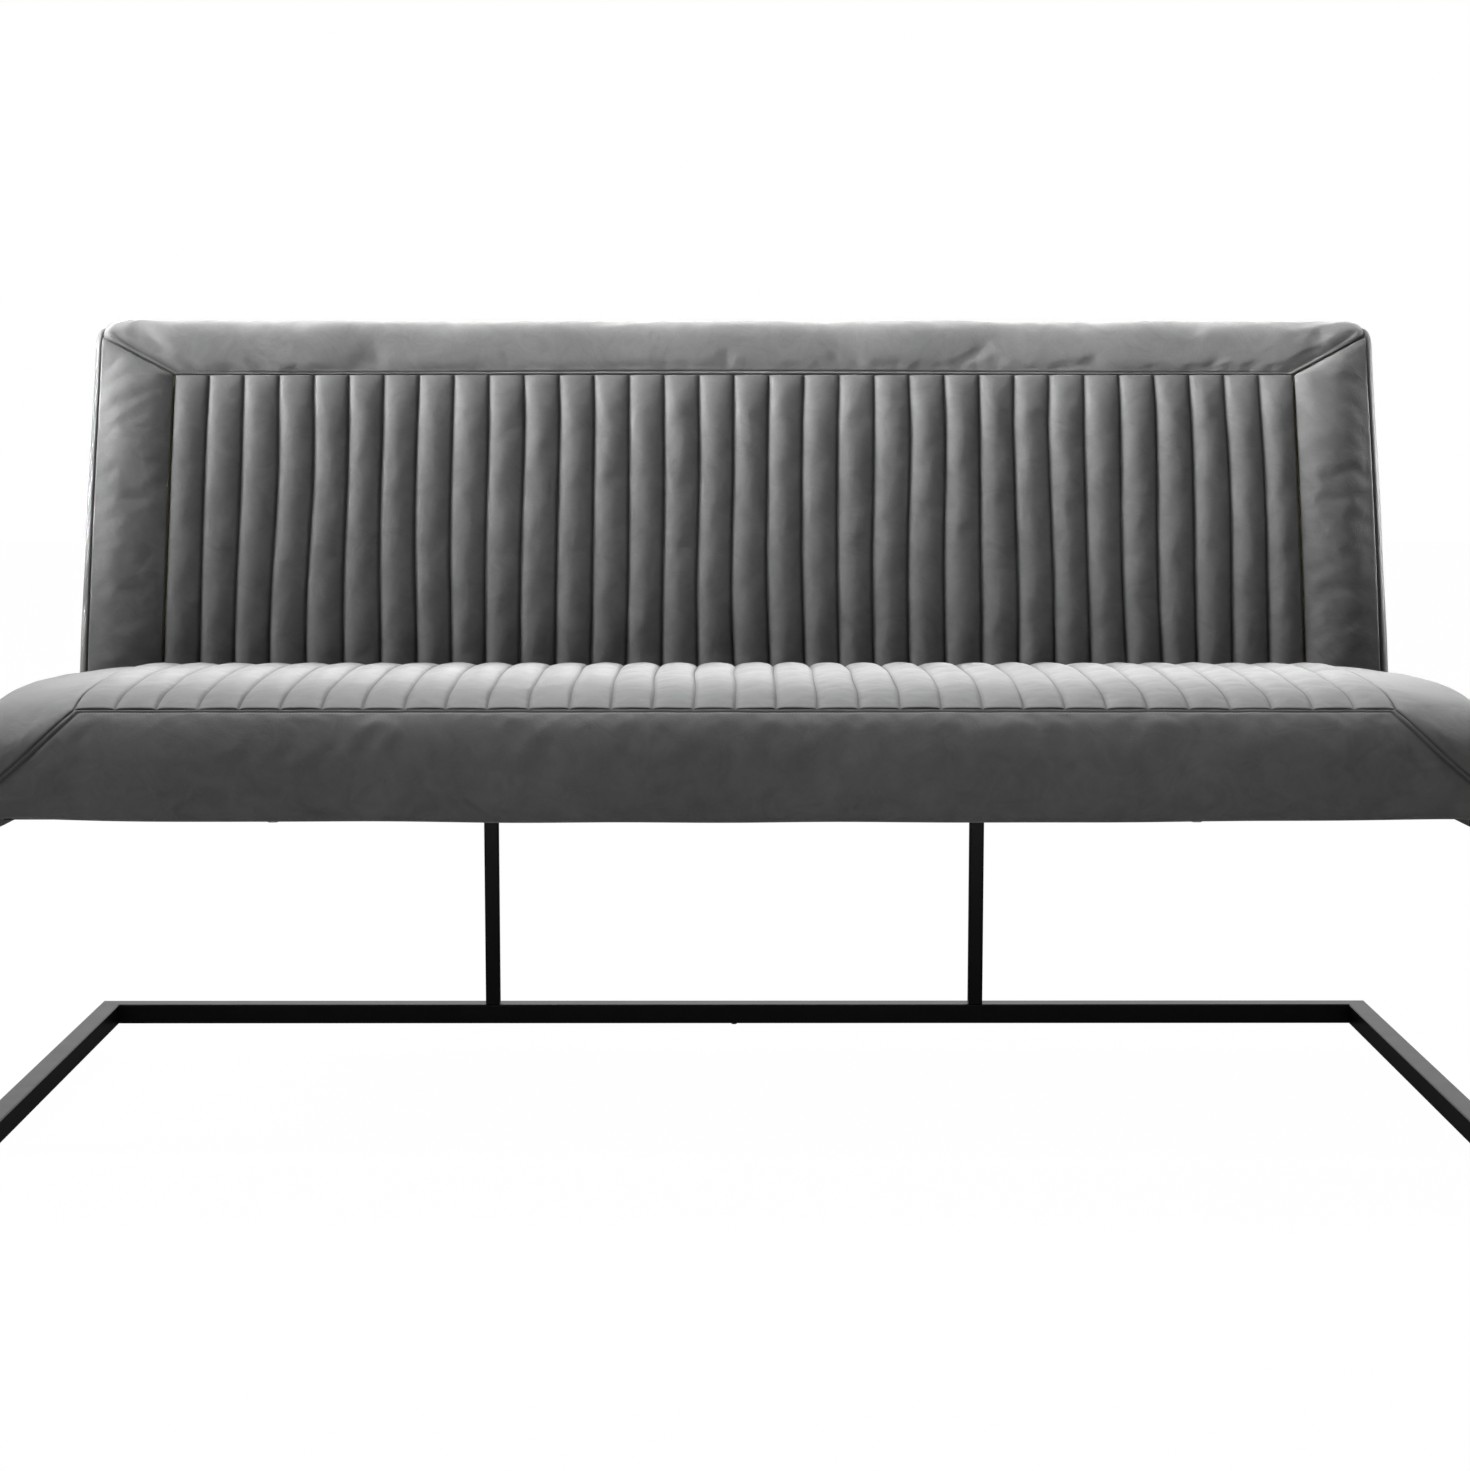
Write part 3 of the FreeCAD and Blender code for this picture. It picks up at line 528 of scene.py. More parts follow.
def seat_drop(x):
    reach = np.abs(x)
    crown = SEAT_CROWN * smooth_through([0, 352, 704], [1, 0.75, 0], reach)
    share = (reach - FIELD_HALF) / (SEAT_HALF - FIELD_HALF)
    fall = smooth_through([0, 0.27, 0.43, 0.56, 0.8, 0.95, 1], [0, 0.06, 0.105, 0.14, 0.19, 0.35, 1], share)
    return np.where(reach > FIELD_HALF, fall * SEAT_DROP, -crown)


def seat_retreat(x):
    share = (np.abs(x) - FIELD_HALF) / (SEAT_HALF - FIELD_HALF)
    return SEAT_RETREAT * smooth_through([0, 0.3, 0.56, 0.8, 0.95, 1], [0, 0, 0.05, 0.16, 0.44, 1], share)


def on_profile(x, keys, bows, v):
    """The point at v along a profile's key corners, whose sides bow outwards by a share of their length."""
    k = np.clip(np.floor(v).astype(int), 0, len(keys) - 2)
    t = v - k
    low = np.take_along_axis(keys, k[None, None], 0)[0]
    high = np.take_along_axis(keys, k[None, None] + 1, 0)[0]
    bow = bows[k] * 4 * t * (1 - t)
    run = high - low
    y = low[0] + run[0] * t - run[1] * bow
    z = low[1] + run[1] * t + run[0] * bow
    return np.stack([x, y, z], -1)


def seat_skin(x, v):
    """The point of the plain seat form at x and at v along its profile, with key corners at whole v."""
    x, v = np.broadcast_arrays(np.asarray(x, float), np.asarray(v, float))
    drop, back, none = seat_drop(x), seat_retreat(x), 0 * x
    stand = np.minimum(STAND_LEVEL, SEAM_LEVEL - STAND_STEP - drop)
    hem = HEM_LIFT * np.abs(x / SEAT_HALF) ** 3
    keys = np.array([
        (TURN_IN_Y + back, SEAT_UNDERSIDE + hem),
        (HEM_Y + back, HEM_Z + hem),
        (NOSE_Y + back, NOSE_Z - np.maximum(drop, 0) / 2),
        (SEAM_Y + back, SEAM_LEVEL - drop),
        (BROW_Y + back, BROW_Z - drop),
        (CUSHION_REAR + none, SEAM_LEVEL - drop),
        (STAND_START + none, stand),
        (SEAT_REAR + none, stand),
        (SEAT_REAR + none, SEAT_UNDERSIDE + none)])
    return on_profile(x, keys, SEAT_BOWS, v)


def profile_steps(skin, v_low, v_high, step, near_low=(), near_high=(), x=0):
    """Places along the profile at x, spaced in mm on the surface."""
    v = np.linspace(v_low, v_high, 1500)
    length = run_length(skin(x, v))
    return np.interp(spaced(length[-1], step, near_low, near_high), length, v), length[-1]


LEG_INSIDE, LEG_FRONT = 784.0, -318.2
MITRE_RUN = 1.11
MITRE_SHARE = 1 / math.hypot(1, MITRE_RUN)


def mitre_reach(z):
    """Half the apron's width at a height: mitred down from the front seam to the legs."""
    return np.minimum(FIELD_HALF + MITRE_RUN * np.clip(SEAM_LEVEL - z, 0, None), LEG_LINE)


CHANNELS = 32
PITCH = 2 * FIELD_HALF / CHANNELS
CHANNEL_CUTS = (0.0, 0.035, 0.10, 0.22, 0.38, 0.54, 0.70, 0.84, 0.93, 0.975)
SEAT_RIDGE, SEAT_RIDGE_POWER = 4.1, 2.7
PILLOW_SHARES = (0, 0.04, 0.12, 0.2, 0.3, 0.4, 0.5, 0.6, 0.7, 0.8, 0.9, 0.96, 1)
PILLOW_HEIGHTS = (0, 1.3, 3.3, 5.1, 6.1, 6.2, 6.0, 5.6, 4.9, 3.9, 2.5, 1.3, 0)


def channel_columns():
    """The columns of a channelled panel: closer together beside each seam."""
    shares = [k + cut for k in range(CHANNELS) for cut in CHANNEL_CUTS] + [CHANNELS]
    return np.array(shares) * PITCH - CHANNELS * PITCH / 2


def seat_ridge(x):
    """The seat's pillows: the same to both sides, pinched at the seams."""
    share = np.mod(x / PITCH, 1.0)
    return SEAT_RIDGE * (1 - np.abs(2 * share - 1) ** SEAT_RIDGE_POWER)


def back_ridge(x):
    """The back's pillows: fuller towards the left of each channel, falling gently to its right."""
    return smooth_through(PILLOW_SHARES, PILLOW_HEIGHTS, np.mod(x / PITCH, 1.0))


def seam_drift(x, along, seed, size=2.0):
    """How far each sewn line wanders sideways from its plain place."""
    where = np.stack([np.round(x / PITCH) * 37.0, along, 0 * along], -1)
    return size * ripple(where, 200.0, seed)


def nearest_line(x):
    """The distance from the nearest channel seam."""
    return np.abs(x - np.round(x / PITCH) * PITCH)


def seat_panel():
    x = channel_columns()
    v, length = profile_steps(seat_skin, FRONT_SEAM, CUSHION_END, 7.0, FOLD_STEPS, FOLD_STEPS)
    X, Vv = np.meshgrid(x, v)
    points = seat_skin(X, Vv)
    along = np.broadcast_to(run_length(points[:, len(x) // 2])[:, None], X.shape)
    ends = np.minimum(np.clip(along / 34.0, 0, 1), np.clip((length - along) / 60.0, 0.25, 1)) ** 0.75
    height = seat_ridge(X) * (0.12 + 0.88 * ends)
    drift = seam_drift(X, along, 11) * np.clip(along / 60.0, 0, 1)
    points[..., 0] += drift * np.clip(1.2 - np.abs(X) / FIELD_HALF, 0, 1)
    points = points + grid_normals(points) * height[..., None]
    line = nearest_line(X)
    points[..., 2] += 0.4 * ripple(points, 70.0, 5) * np.clip(line / 4.0, 0, 1)
    held = np.minimum(np.minimum(length - along, along), line * 3.0 + 3.0)
    points = pressed_out(points, held, slack=0.004, cap=0.6)
    points = sink_along(points, 1.7 * seam_mark(line, 1.4) + seam_sink(along, False, 1.5))
    return points, np.maximum(seam_mark(line, 1.3), seam_mark(along, 1.4))


def across_border(half):
    """The columns of a long border from end to end, closer together near both ends."""
    edge = np.array(EDGE_STEPS)
    inner = np.linspace(-1, 1, 151)[1:-1]
    return np.concatenate([-half + edge, inner * (half - edge[-1]), half - edge[::-1]], 1)


def apron():
    v, length = profile_steps(seat_skin, HEM, FRONT_SEAM, 7.5, (0.0, 1.5, 4.0), EDGE_STEPS)
    v = np.concatenate([[0.0, 0.35, 0.75], v])
    half = mitre_reach(seat_skin(0, v)[:, 2])[:, None]
    X = across_border(half)
    points = seat_skin(X, v[:, None])
    points = relaxed(points, 10, keep_rows=range(len(v) - 6, len(v)))
    down = column_length(points[::-1])[::-1]
    across = (half - np.abs(X)) * np.where(half < LEG_LINE - 0.5, MITRE_SHARE, 1.0)
    distance = np.minimum(down, across)
    puckers = pulls(points, [1, 0.3, 0.3], 26.0, 21, 0.35, distance, 9.0)
    swell = 1.1 * ripple(points, 210.0, 22) * np.clip(distance / 30.0, 0, 1)
    held = np.minimum(distance, apart(points, points[:1]))
    points = pressed_out(sink_along(points, -puckers - swell), held)
    points = sink_along(points, seam_sink(distance))
    hem = points[:3]
    before_leg = np.abs(hem[..., 0]) > LEG_INSIDE
    hem[..., 1] = np.where(before_leg, np.minimum(hem[..., 1], LEG_FRONT), hem[..., 1])
    return points, topstitch_mark(distance, distance)


def seat_border():
    """The right-hand border: from the panel's seam and the mitre over the shoulder and down the end."""
    low, _ = profile_steps(seat_skin, HEM, FRONT_SEAM, 7.0, (0.0, 2.0), (0.0, 2.0, 5.0))
    top, _ = profile_steps(seat_skin, FRONT_SEAM, CUSHION_END, 9.0, (0.0, 2.0, 5.0), (0.0, 2.0, 5.0))
    stand, _ = profile_steps(seat_skin, STAND, REAR_TOP, 9.0, (0.0, 2.5), (0.0, 2.0, 5.0))
    wall, _ = profile_steps(seat_skin, REAR_TOP, REAR_FOOT, 9.0, (0.0, 2.0, 5.0), (0.0, 2.0))
    v = np.concatenate([low, top[1:], stand, wall[1:]])
    ends = np.linspace(FIELD_HALF, SEAT_HALF, 600)
    over = np.concatenate([[0], np.cumsum(np.hypot(np.diff(ends), np.diff(seat_drop(ends))))])
    places = np.interp(spaced(over[-1], 6.5, FOLD_STEPS, (0.0, 3.0)), over, ends)
    share = (places - FIELD_HALF) / (SEAT_HALF - FIELD_HALF)
    start = np.where(v <= FRONT_SEAM, mitre_reach(seat_skin(0, v)[:, 2]), FIELD_HALF)[:, None]
    X = start + (SEAT_HALF - start) * share
    skin = seat_skin(X, v[:, None])
    outline = skin[:, -1]
    stations = [HEM, FRONT_SEAM, CUSHION_END, REAR_TOP, REAR_FOOT]
    foot = np.interp(v, stations, [-293, -272, 160, 288, SEAT_REAR])
    q = spaced(1.0, 0.09, (0.0, 0.03), (0.0, 0.03))[1:, None, None]
    base = np.stack([np.full_like(v, SEAT_HALF), foot, np.full_like(v, SEAT_UNDERSIDE)], -1)
    side = outline[None] + (base - outline)[None] * q
    side[..., 0] += 1.8 * np.sin(math.pi * q[..., 0])
    side = np.transpose(side, (1, 0, 2))
    turned = side[:, -1] + np.array([-9.0, 0.0, -0.6])
    points = np.concatenate([skin, side, turned[:, None]], 1)
    columns = points.shape[1]
    points = relaxed(points, 4, keep_columns=[0, 1, 2, columns - 2])
    mitred = (start < LEG_LINE - 0.5) & (start > FIELD_HALF)
    across = np.abs(X - start) * np.where(mitred, MITRE_SHARE, 1.0)
    distance = np.full(points.shape[:2], 99.0)
    distance[:, :across.shape[1]] = across
    eased = np.clip((distance - 4) / 30, 0, 1) * np.exp(-((v - FRONT_SEAM) / 0.6) ** 2)[:, None]
    for _ in range(60):
        points[1:-1] += (points[:-2] + points[2:] - 2 * points[1:-1]) * 0.25 * eased[1:-1, :, None]
    swell = 1.3 * ripple(points, 190.0, 31) * np.clip(distance / 40.0, 0, 1)
    puckers = pulls(points, [0.3, 1, 1], 24.0, 32, 0.3, distance, 8.0)
    held = distance
    for edge in (points[:, -1:], points[-1:], points[:1]):
        held = np.minimum(held, apart(points, edge))
    points = pressed_out(sink_along(points, -swell - puckers), held, slack=0.005, cap=1.5)
    points = sink_along(points, seam_sink(distance, False))
    return points, seam_mark(distance)


POST_X, POST_SLOT, POST_PASS = 400.0, 21.5, (262.5, 271.5)


def seat_rear():
    """The plain band across the rear of the seat, open at its top where the back posts pass."""
    slots = [post + half for post in (-POST_X, POST_X) for half in (-POST_SLOT, POST_SLOT)]
    x = sorted(set(np.round(np.concatenate([
        spaced(2 * FIELD_HALF, 16.0, FOLD_STEPS, FOLD_STEPS) - FIELD_HALF, slots]), 3)))
    x = np.array([k for k in x if abs(abs(k) - POST_X) >= POST_SLOT - 0.5])
    top, _ = profile_steps(seat_skin, STAND, REAR_TOP, 9.0, (0.0, 2.5), (0.0, 2.0, 5.0))
    cut_low, cut_high = (np.interp(y, [STAND_START, SEAT_REAR], [STAND, REAR_TOP]) for y in POST_PASS)
    top = np.array(sorted([t for t in top if not cut_low < t < cut_high] + [cut_low, cut_high]))
    wall, _ = profile_steps(seat_skin, REAR_TOP, REAR_FOOT, 9.0, (0.0, 2.0, 5.0), (0.0, 2.0))
    v = np.concatenate([top, wall[1:]])
    X, Vv = np.meshgrid(x, v)
    points = seat_skin(X, Vv)
    skip = np.zeros((len(v) - 1, len(x) - 1), bool)
    row = int(np.argmin(np.abs(v - cut_low)))
    for post in (-POST_X, POST_X):
        skip[row, int(np.argmin(np.abs(x - (post - POST_SLOT))))] = True
    distance = FIELD_HALF - np.abs(X)
    rear = (Vv > REAR_TOP).astype(float)
    points = sink_along(points, seam_sink(distance, False) - rear * 0.8 * ripple(points, 160.0, 41))
    return points, seam_mark(distance), skip


SLEEVE_FRONT, SLEEVE_INNER, SLEEVE_OUTER, SLEEVE_BOTTOM, SLEEVE_TOP = -291.5, 788.2, 822.6, 341.0, 367.0
SLEEVE_FALL = math.tan(math.radians(1.1))
CROSS_RAIL_SLOTS = ((-276.5, -253.5), (268.5, 291.5))


def rail_sleeve():
    """The wrapped underside below the right-hand seat rail, falling towards the rear."""
    y = spaced(SEAT_REAR - SLEEVE_FRONT, 14.0, (0.0, 1.5, 4.0), (0.0, 1.5, 4.0)) + SLEEVE_FRONT
    inner, outer = SLEEVE_INNER, SLEEVE_OUTER
    ring = []
    for level in y:
        low = SLEEVE_BOTTOM - (level - SLEEVE_FRONT) * SLEEVE_FALL
        ring.append([(outer, level, 347.2), (outer + 0.3, level, 344.0), (outer, level, low + 2.5),
                     (outer - 2.5, level, low), ((inner + outer) / 2, level, low - 0.8),
                     (inner + 2.0, level, low), (inner, level, low + 2.0), (inner, level, 350.0),
                     (inner, level, 360.0), (inner, level, SLEEVE_TOP)])
    points = np.array(ring)
    points[..., 0] += 0.25 * ripple(points, 60.0, 51)
    points[..., 2] += 0.3 * ripple(points, 90.0, 52) * (points[..., 2] < 346)
    skip = np.zeros((len(y) - 1, points.shape[1] - 1), bool)
    middles = (y[:-1] + y[1:]) / 2
    for slot_front, slot_rear in CROSS_RAIL_SLOTS:
        skip[(slot_front < middles) & (middles < slot_rear), 7:] = True
    return points, np.zeros(points.shape[:2]), skip


def made(name, make, wall, node, fill=0.75):
    """The sewn piece in place of its node, and its grid."""
    grid, seam, *skip = make()
    return upholstered(sewn(name, grid, seam, wall, *skip), node, fill=fill), grid


def made_both(end, make, wall, node, fill=0.75):
    """The right-hand piece and its mirror image, each in place of its own node."""
    points, seam, *skip = make()
    for side, grid, turned in (("right", points, False), ("left", mirror_grid(points), True)):
        piece = sewn(f"{side}_{end}", grid, seam, wall, skip[0] if skip else None, turned)
        upholstered(piece, node.format(side), fill=fill)


seat_field, seat_grid = made("channelled_seat_panel", seat_panel, COVER_WALL, "seat_channel_panel", 0.7)
apron_cover = made("front_apron_cover", apron, COVER_WALL, "seat_front_apron")[0]
made_both("seat_border_cover", seat_border, BORDER_WALL, "seat_{}_border")
made("seat_rear_band_cover", seat_rear, COVER_WALL, "seat_rear_band")
made_both("rail_sleeve", rail_sleeve, 1.6, "{}_rail_cover", 0.3)


# Back: a wedge with its own profile

FACE_HALF, BACK_HALF, BACK_FOOT = 798.0, 813.0, 462.3
FOOT_Y, TOP_BROW_Y, TOP_Y, REAR_BROW_Y, REAR_BASE_Y = 172.0, 302.3, 333.0, 357.5, 297.0
SEAM_Z, TOP_BROW_Z, TOP_Z, REAR_BROW_Z, MITRE_TOP_Z = 831.0, 878.0, 902.0, 866.0, 880.0
FOOT, SEAM, TOP_BROW, TOP, REAR_BROW, REAR_BASE = range(6)
BACK_BOWS = np.array([0.013, 0, 0.164, 0.15, 0, 0])
ROUND_START, ROUND_DROP = 770.0, 45.0


def back_drop(x):
    """How far the back's top has come down at x, round its upper corners."""
    stations = [ROUND_START, 788.2, FACE_HALF, 806.2, BACK_HALF]
    return ROUND_DROP * smooth_through(stations, [0, 0.09, 0.27, 0.48, 1], np.abs(x))


def back_skin(x, v):
    """The point of the plain back form at x and at v along its profile."""
    x, v = np.broadcast_arrays(np.asarray(x, float), np.asarray(v, float))
    drop, none = back_drop(x), 0 * x

    def front(z):
        return FOOT_Y + (z - BACK_FOOT) * (TOP_BROW_Y - FOOT_Y) / (TOP_BROW_Z - BACK_FOOT)

    def rear(z):
        return REAR_BASE_Y + (z - BACK_FOOT) * (REAR_BROW_Y - REAR_BASE_Y) / (REAR_BROW_Z - BACK_FOOT)

    keys = np.array([
        (FOOT_Y + none, BACK_FOOT + none),
        (front(SEAM_Z - drop), SEAM_Z - drop),
        (front(TOP_BROW_Z - drop), TOP_BROW_Z - drop),
        (TOP_Y - drop * 0.15, TOP_Z - drop),
        (rear(REAR_BROW_Z - drop), REAR_BROW_Z - drop),
        (REAR_BASE_Y + none, BACK_FOOT + none)])
    return on_profile(x, keys, BACK_BOWS, v)


MITRE_RISE = (MITRE_TOP_Z - SEAM_Z) / (FACE_HALF - FIELD_HALF)
MITRE_SINE = math.sin(math.atan(MITRE_RISE))


def top_reach(v):
    """Half the top border's width along the profile: up the straight mitre on the front, then full width."""
    x = np.linspace(FIELD_HALF, FACE_HALF, 800)
    height = back_skin(x, v[:, None])[..., 2]
    over = height - (SEAM_Z + (x - FIELD_HALF) * MITRE_RISE)
    crossing = x[np.argmax(over <= 0, axis=1)]
    return np.where((over <= 0).any(axis=1) & (v < TOP), crossing, FACE_HALF)


def back_panel():
    x = channel_columns()
    v, length = profile_steps(back_skin, FOOT, SEAM, 7.0, (0.0, 3.0), FOLD_STEPS)
    X, Vv = np.meshgrid(x, v)
    points = back_skin(X, Vv)
    along = np.broadcast_to(run_length(points[:, len(x) // 2])[:, None], X.shape)
    left = length - along
    ends = np.clip(left / 45.0, 0, 1) ** 0.65
    height = back_ridge(X) * (0.22 + 0.78 * ends)
    sway = -5.0 * np.exp(-((X - 230) / 250.0) ** 2) * np.clip(1.1 - along / length, 0, 1)
    drift = (seam_drift(X, along, 12, 2.6) + sway) * np.clip(left / 60.0, 0, 1)
    points[..., 0] += drift * np.clip((FIELD_HALF - np.abs(X)) / 60.0, 0, 1)
    points = points + grid_normals(points) * height[..., None]
    line = nearest_line(X)
    points[..., 1] += 0.5 * ripple(points, 80.0, 6) * np.clip(line / 4.0, 0, 1)
    held = np.minimum(np.minimum(left, along), line * 3.0 + 3.0)
    points = pressed_out(points, held, slack=0.004, cap=0.7)
    points = sink_along(points, 2.2 * seam_mark(line) + seam_sink(left, False, 1.2))
    return points, np.maximum(seam_mark(line, 1.6), seam_mark(left, 1.6))


def back_top():
    """The top border: from the face's seam over the top to the rear seam."""
    front, _ = profile_steps(back_skin, SEAM, TOP_BROW, 6.5, EDGE_STEPS, (0.0,))
    top, _ = profile_steps(back_skin, TOP_BROW, TOP, 5.0)
    rear, _ = profile_steps(back_skin, TOP, REAR_BROW, 5.0, (0.0,), FOLD_STEPS)
    v = np.concatenate([front, top[1:], rear[1:]])
    half = top_reach(v)[:, None]
    X = across_border(half)
    points = back_skin(X, v[:, None])
    points = relaxed(points, 6, keep_rows=list(range(0, 6)) + list(range(len(v) - 4, len(v))))
    up = column_length(points)
    below = up[-1:] - up
    mitred = (half > FIELD_HALF) & (half < FACE_HALF - 0.5)
    across = (half - np.abs(X)) * np.where(mitred, MITRE_SINE, 1.0)
    stitched = np.minimum(up, np.where(mitred, across, 99.0))
    plain = np.minimum(below, across)
    distance = np.minimum(stitched, plain)
    sink = np.maximum(seam_sink(stitched), seam_sink(plain, False))
    swell = 1.2 * ripple(points, 180.0, 61) * np.clip(distance / 30.0, 0, 1)
    puckers = pulls(points, [1, 0.3, 0.3], 25.0, 62, 0.35, stitched, 9.0)
    points = pressed_out(sink_along(points, -swell - puckers), distance)
    return sink_along(points, sink), topstitch_mark(distance, stitched)


BORDER_PILLOW = 7.0


def back_border():
    """The right-hand front border, closed to a point at the top by the mitre."""
    low, _ = profile_steps(back_skin, FOOT, SEAM, 7.0, (0.0, 3.0), (0.0, 3.0))
    tries = np.linspace(SEAM, TOP, 400)
    mitre_end = tries[np.argmax(top_reach(tries) >= FACE_HALF - 0.2)]
    high, _ = profile_steps(back_skin, SEAM, mitre_end, 5.0)
    v = np.concatenate([low, high[1:]])
    start = np.where(v <= SEAM, FIELD_HALF, top_reach(v))[:, None]
    width = FACE_HALF - FIELD_HALF
    share = spaced(width, 7.0, FOLD_STEPS, FOLD_STEPS) / width
    X = start + (FACE_HALF - start) * share
    points = back_skin(X, v[:, None])
    across = (X - start) * np.where(start > FIELD_HALF, MITRE_SINE, 1.0)
    distance = np.minimum(across, FACE_HALF - X)
    inward = np.clip((X - start) / 30.0, 0, 1)
    outward = np.clip((FACE_HALF - X) / 52.0, 0, 1)
    pillow = BORDER_PILLOW * (1 - (1 - inward) ** 2.6) * (1 - (1 - outward) ** 2.0)
    pillow = pillow * np.clip((FACE_HALF - start) / width, 0, 1)
    swell = 1.0 * ripple(points, 150.0, 71) * np.clip(distance / 25.0, 0, 1)
    puckers = pulls(points, [0.3, 1, 1], 24.0, 72, 0.5, distance, 10.0)
    height = points[..., 2]
    corner = np.exp(-(((X - 760) / 34.0) ** 2 + ((height - 805) / 45.0) ** 2))
    folds = 0.35 * corner * np.sin((height * 0.8 + X * 0.55) / 3.6 + 1.5 * ripple(points, 90.0, 73))
    held = np.minimum(distance, apart(points, points[:1]))
    points = pressed_out(sink_along(points, -pillow - swell - puckers - folds), held, slack=0.005)
    return sink_along(points, seam_sink(distance, False)), seam_mark(distance)


def back_gusset():
    """The right-hand end: from the front seam round the side to the rear seam, domed at the top."""
    front, _ = profile_steps(back_skin, FOOT, TOP, 8.0, (0.0, 3.0), (0.0, 2.0), FACE_HALF)
    v_rear = np.linspace(REAR_BASE, TOP, 1500)
    rear_line = back_skin(FACE_HALF, v_rear)
    left = back_skin(FACE_HALF, front)
    length, rear_length = run_length(left), run_length(rear_line)
    at = np.interp(length / length[-1] * rear_length[-1], rear_length, v_rear)
    right = back_skin(FACE_HALF, at)
    close = (0.0, 0.012, 0.03, 0.06)
    s = spaced(1.0, 0.07, close, close)[None, :, None]
    points = left[:, None] + (right - left)[:, None] * s
    gap = np.linalg.norm(right - left, axis=1)[:, None]
    near = np.minimum(s[..., 0], 1 - s[..., 0]) * gap
    roof = np.maximum(890.0 - points[..., 2], 0) * 0.9
    depth = np.minimum(near, roof)
    reach = np.clip(depth / 26.0, 0, 1)
    bulge = np.interp(points[..., 2], [BACK_FOOT, 860.0], [13.3, 10.5])
    points[..., 0] += bulge * np.sqrt(1 - (1 - reach) ** 2)
    swell = 0.9 * ripple(points, 130.0, 81) * reach
    points[..., 0] += swell - seam_sink(np.minimum(near, roof + 99 * (roof > 8)), False) * 0.6
    return points, seam_mark(near)


def back_rear():
    """The plain rear panel, from the rear seam down to the seat."""
    v, _ = profile_steps(back_skin, REAR_BROW, REAR_BASE, 9.0, FOLD_STEPS, (0.0, 3.0))
    x = spaced(2 * FACE_HALF, 12.0, FOLD_STEPS, FOLD_STEPS) - FACE_HALF
    X, Vv = np.meshgrid(x, v)
    points = back_skin(X, Vv)
    down = column_length(points)
    distance = np.minimum(down, FACE_HALF - np.abs(X))
    swell = ripple(points, 240.0, 91) * np.clip(distance / 35.0, 0, 1)
    drag = 0.5 * ripple(points * [1, 1, 0.25], 45.0, 92) * np.exp(-((distance - 14) / 16) ** 2)
    held = np.minimum(distance, down[-1:] - down)
    points = pressed_out(sink_along(points, -swell - drag), held, slack=0.006)
    return sink_along(points, seam_sink(distance, False)), seam_mark(distance)


back_field, back_grid = made("channelled_back_panel", back_panel, COVER_WALL, "back_channel_panel", 0.7)
top_cover = made("back_top_border_cover", back_top, 8.0, "back_top_border")[0]
made_both("back_border_cover", back_border, 8.0, "back_{}_border")
made_both("back_gusset_cover", back_gusset, 7.0, "back_{}_gusset")
made("back_rear_panel_cover", back_rear, 7.5, "back_rear_panel")


# Foam and wadding inside the covers

def foam_block(name, node, voxel=9.0):
    """The foam of one node, evened out and with its corners eased."""
    mesh = frame["nodes"][node].data.copy()
    mesh.name = name
    mesh.materials.clear()
    mesh.materials.append(FOAM)
    weld(mesh, 1e-5)
    block = placed(name, mesh)
    remesh = block.modifiers.new("even", "REMESH")
    remesh.mode, remesh.voxel_size = "VOXEL", voxel * MM
    soften = block.modifiers.new("soften", "SMOOTH")
    soften.iterations, soften.factor = 2, 0.5
    return upholstered(settled(block), node, fill=0.9, slot="foam")


def surface_of(cover):
    """A cover's faces, ready for finding the nearest place on them."""
    mesh = cover.data
    return BVHTree.FromPolygons([vertex.co.copy() for vertex in mesh.vertices],
                                [list(face.vertices) for face in mesh.polygons])


FOAM_CLEAR, CORE_X, CORE_Z = 2.0, 600.0, 360.0


def tucked_under(block, side, cover):
    """Draws the foam's points that reach into a seat border back towards the core, to lie inside it."""
    surface = surface_of(cover)
    core = Vector((side * CORE_X, 0, CORE_Z)) * MM
    for vertex in block.data.vertices:
        if vertex.co.x * side < (FIELD_HALF + 8) * MM:
            continue
        for _ in range(3):
            found, normal, _, distance = surface.find_nearest(vertex.co)
            inside = normal.dot(core - found) > 0 and normal.dot(vertex.co - found) > FOAM_CLEAR * MM / 2
            if inside or distance > 30 * MM:
                break
            step = min(distance, 10 * MM) + (BORDER_WALL + FOAM_CLEAR) * MM
            vertex.co += (core - vertex.co).normalized() * step
    block.data.update()


seat_block = foam_block("seat_foam_block", "seat_foam")
for side, name in ((1, "right_seat_border_cover"), (-1, "left_seat_border_cover")):
    tucked_under(seat_block, side, bpy.data.objects[name])
foam_block("back_foam_block", "back_foam")
foam_block("rear_wadding_sheet", "back_rear_wadding", 4.0)


# Sewing thread: rows of stitches laid on the finished covers

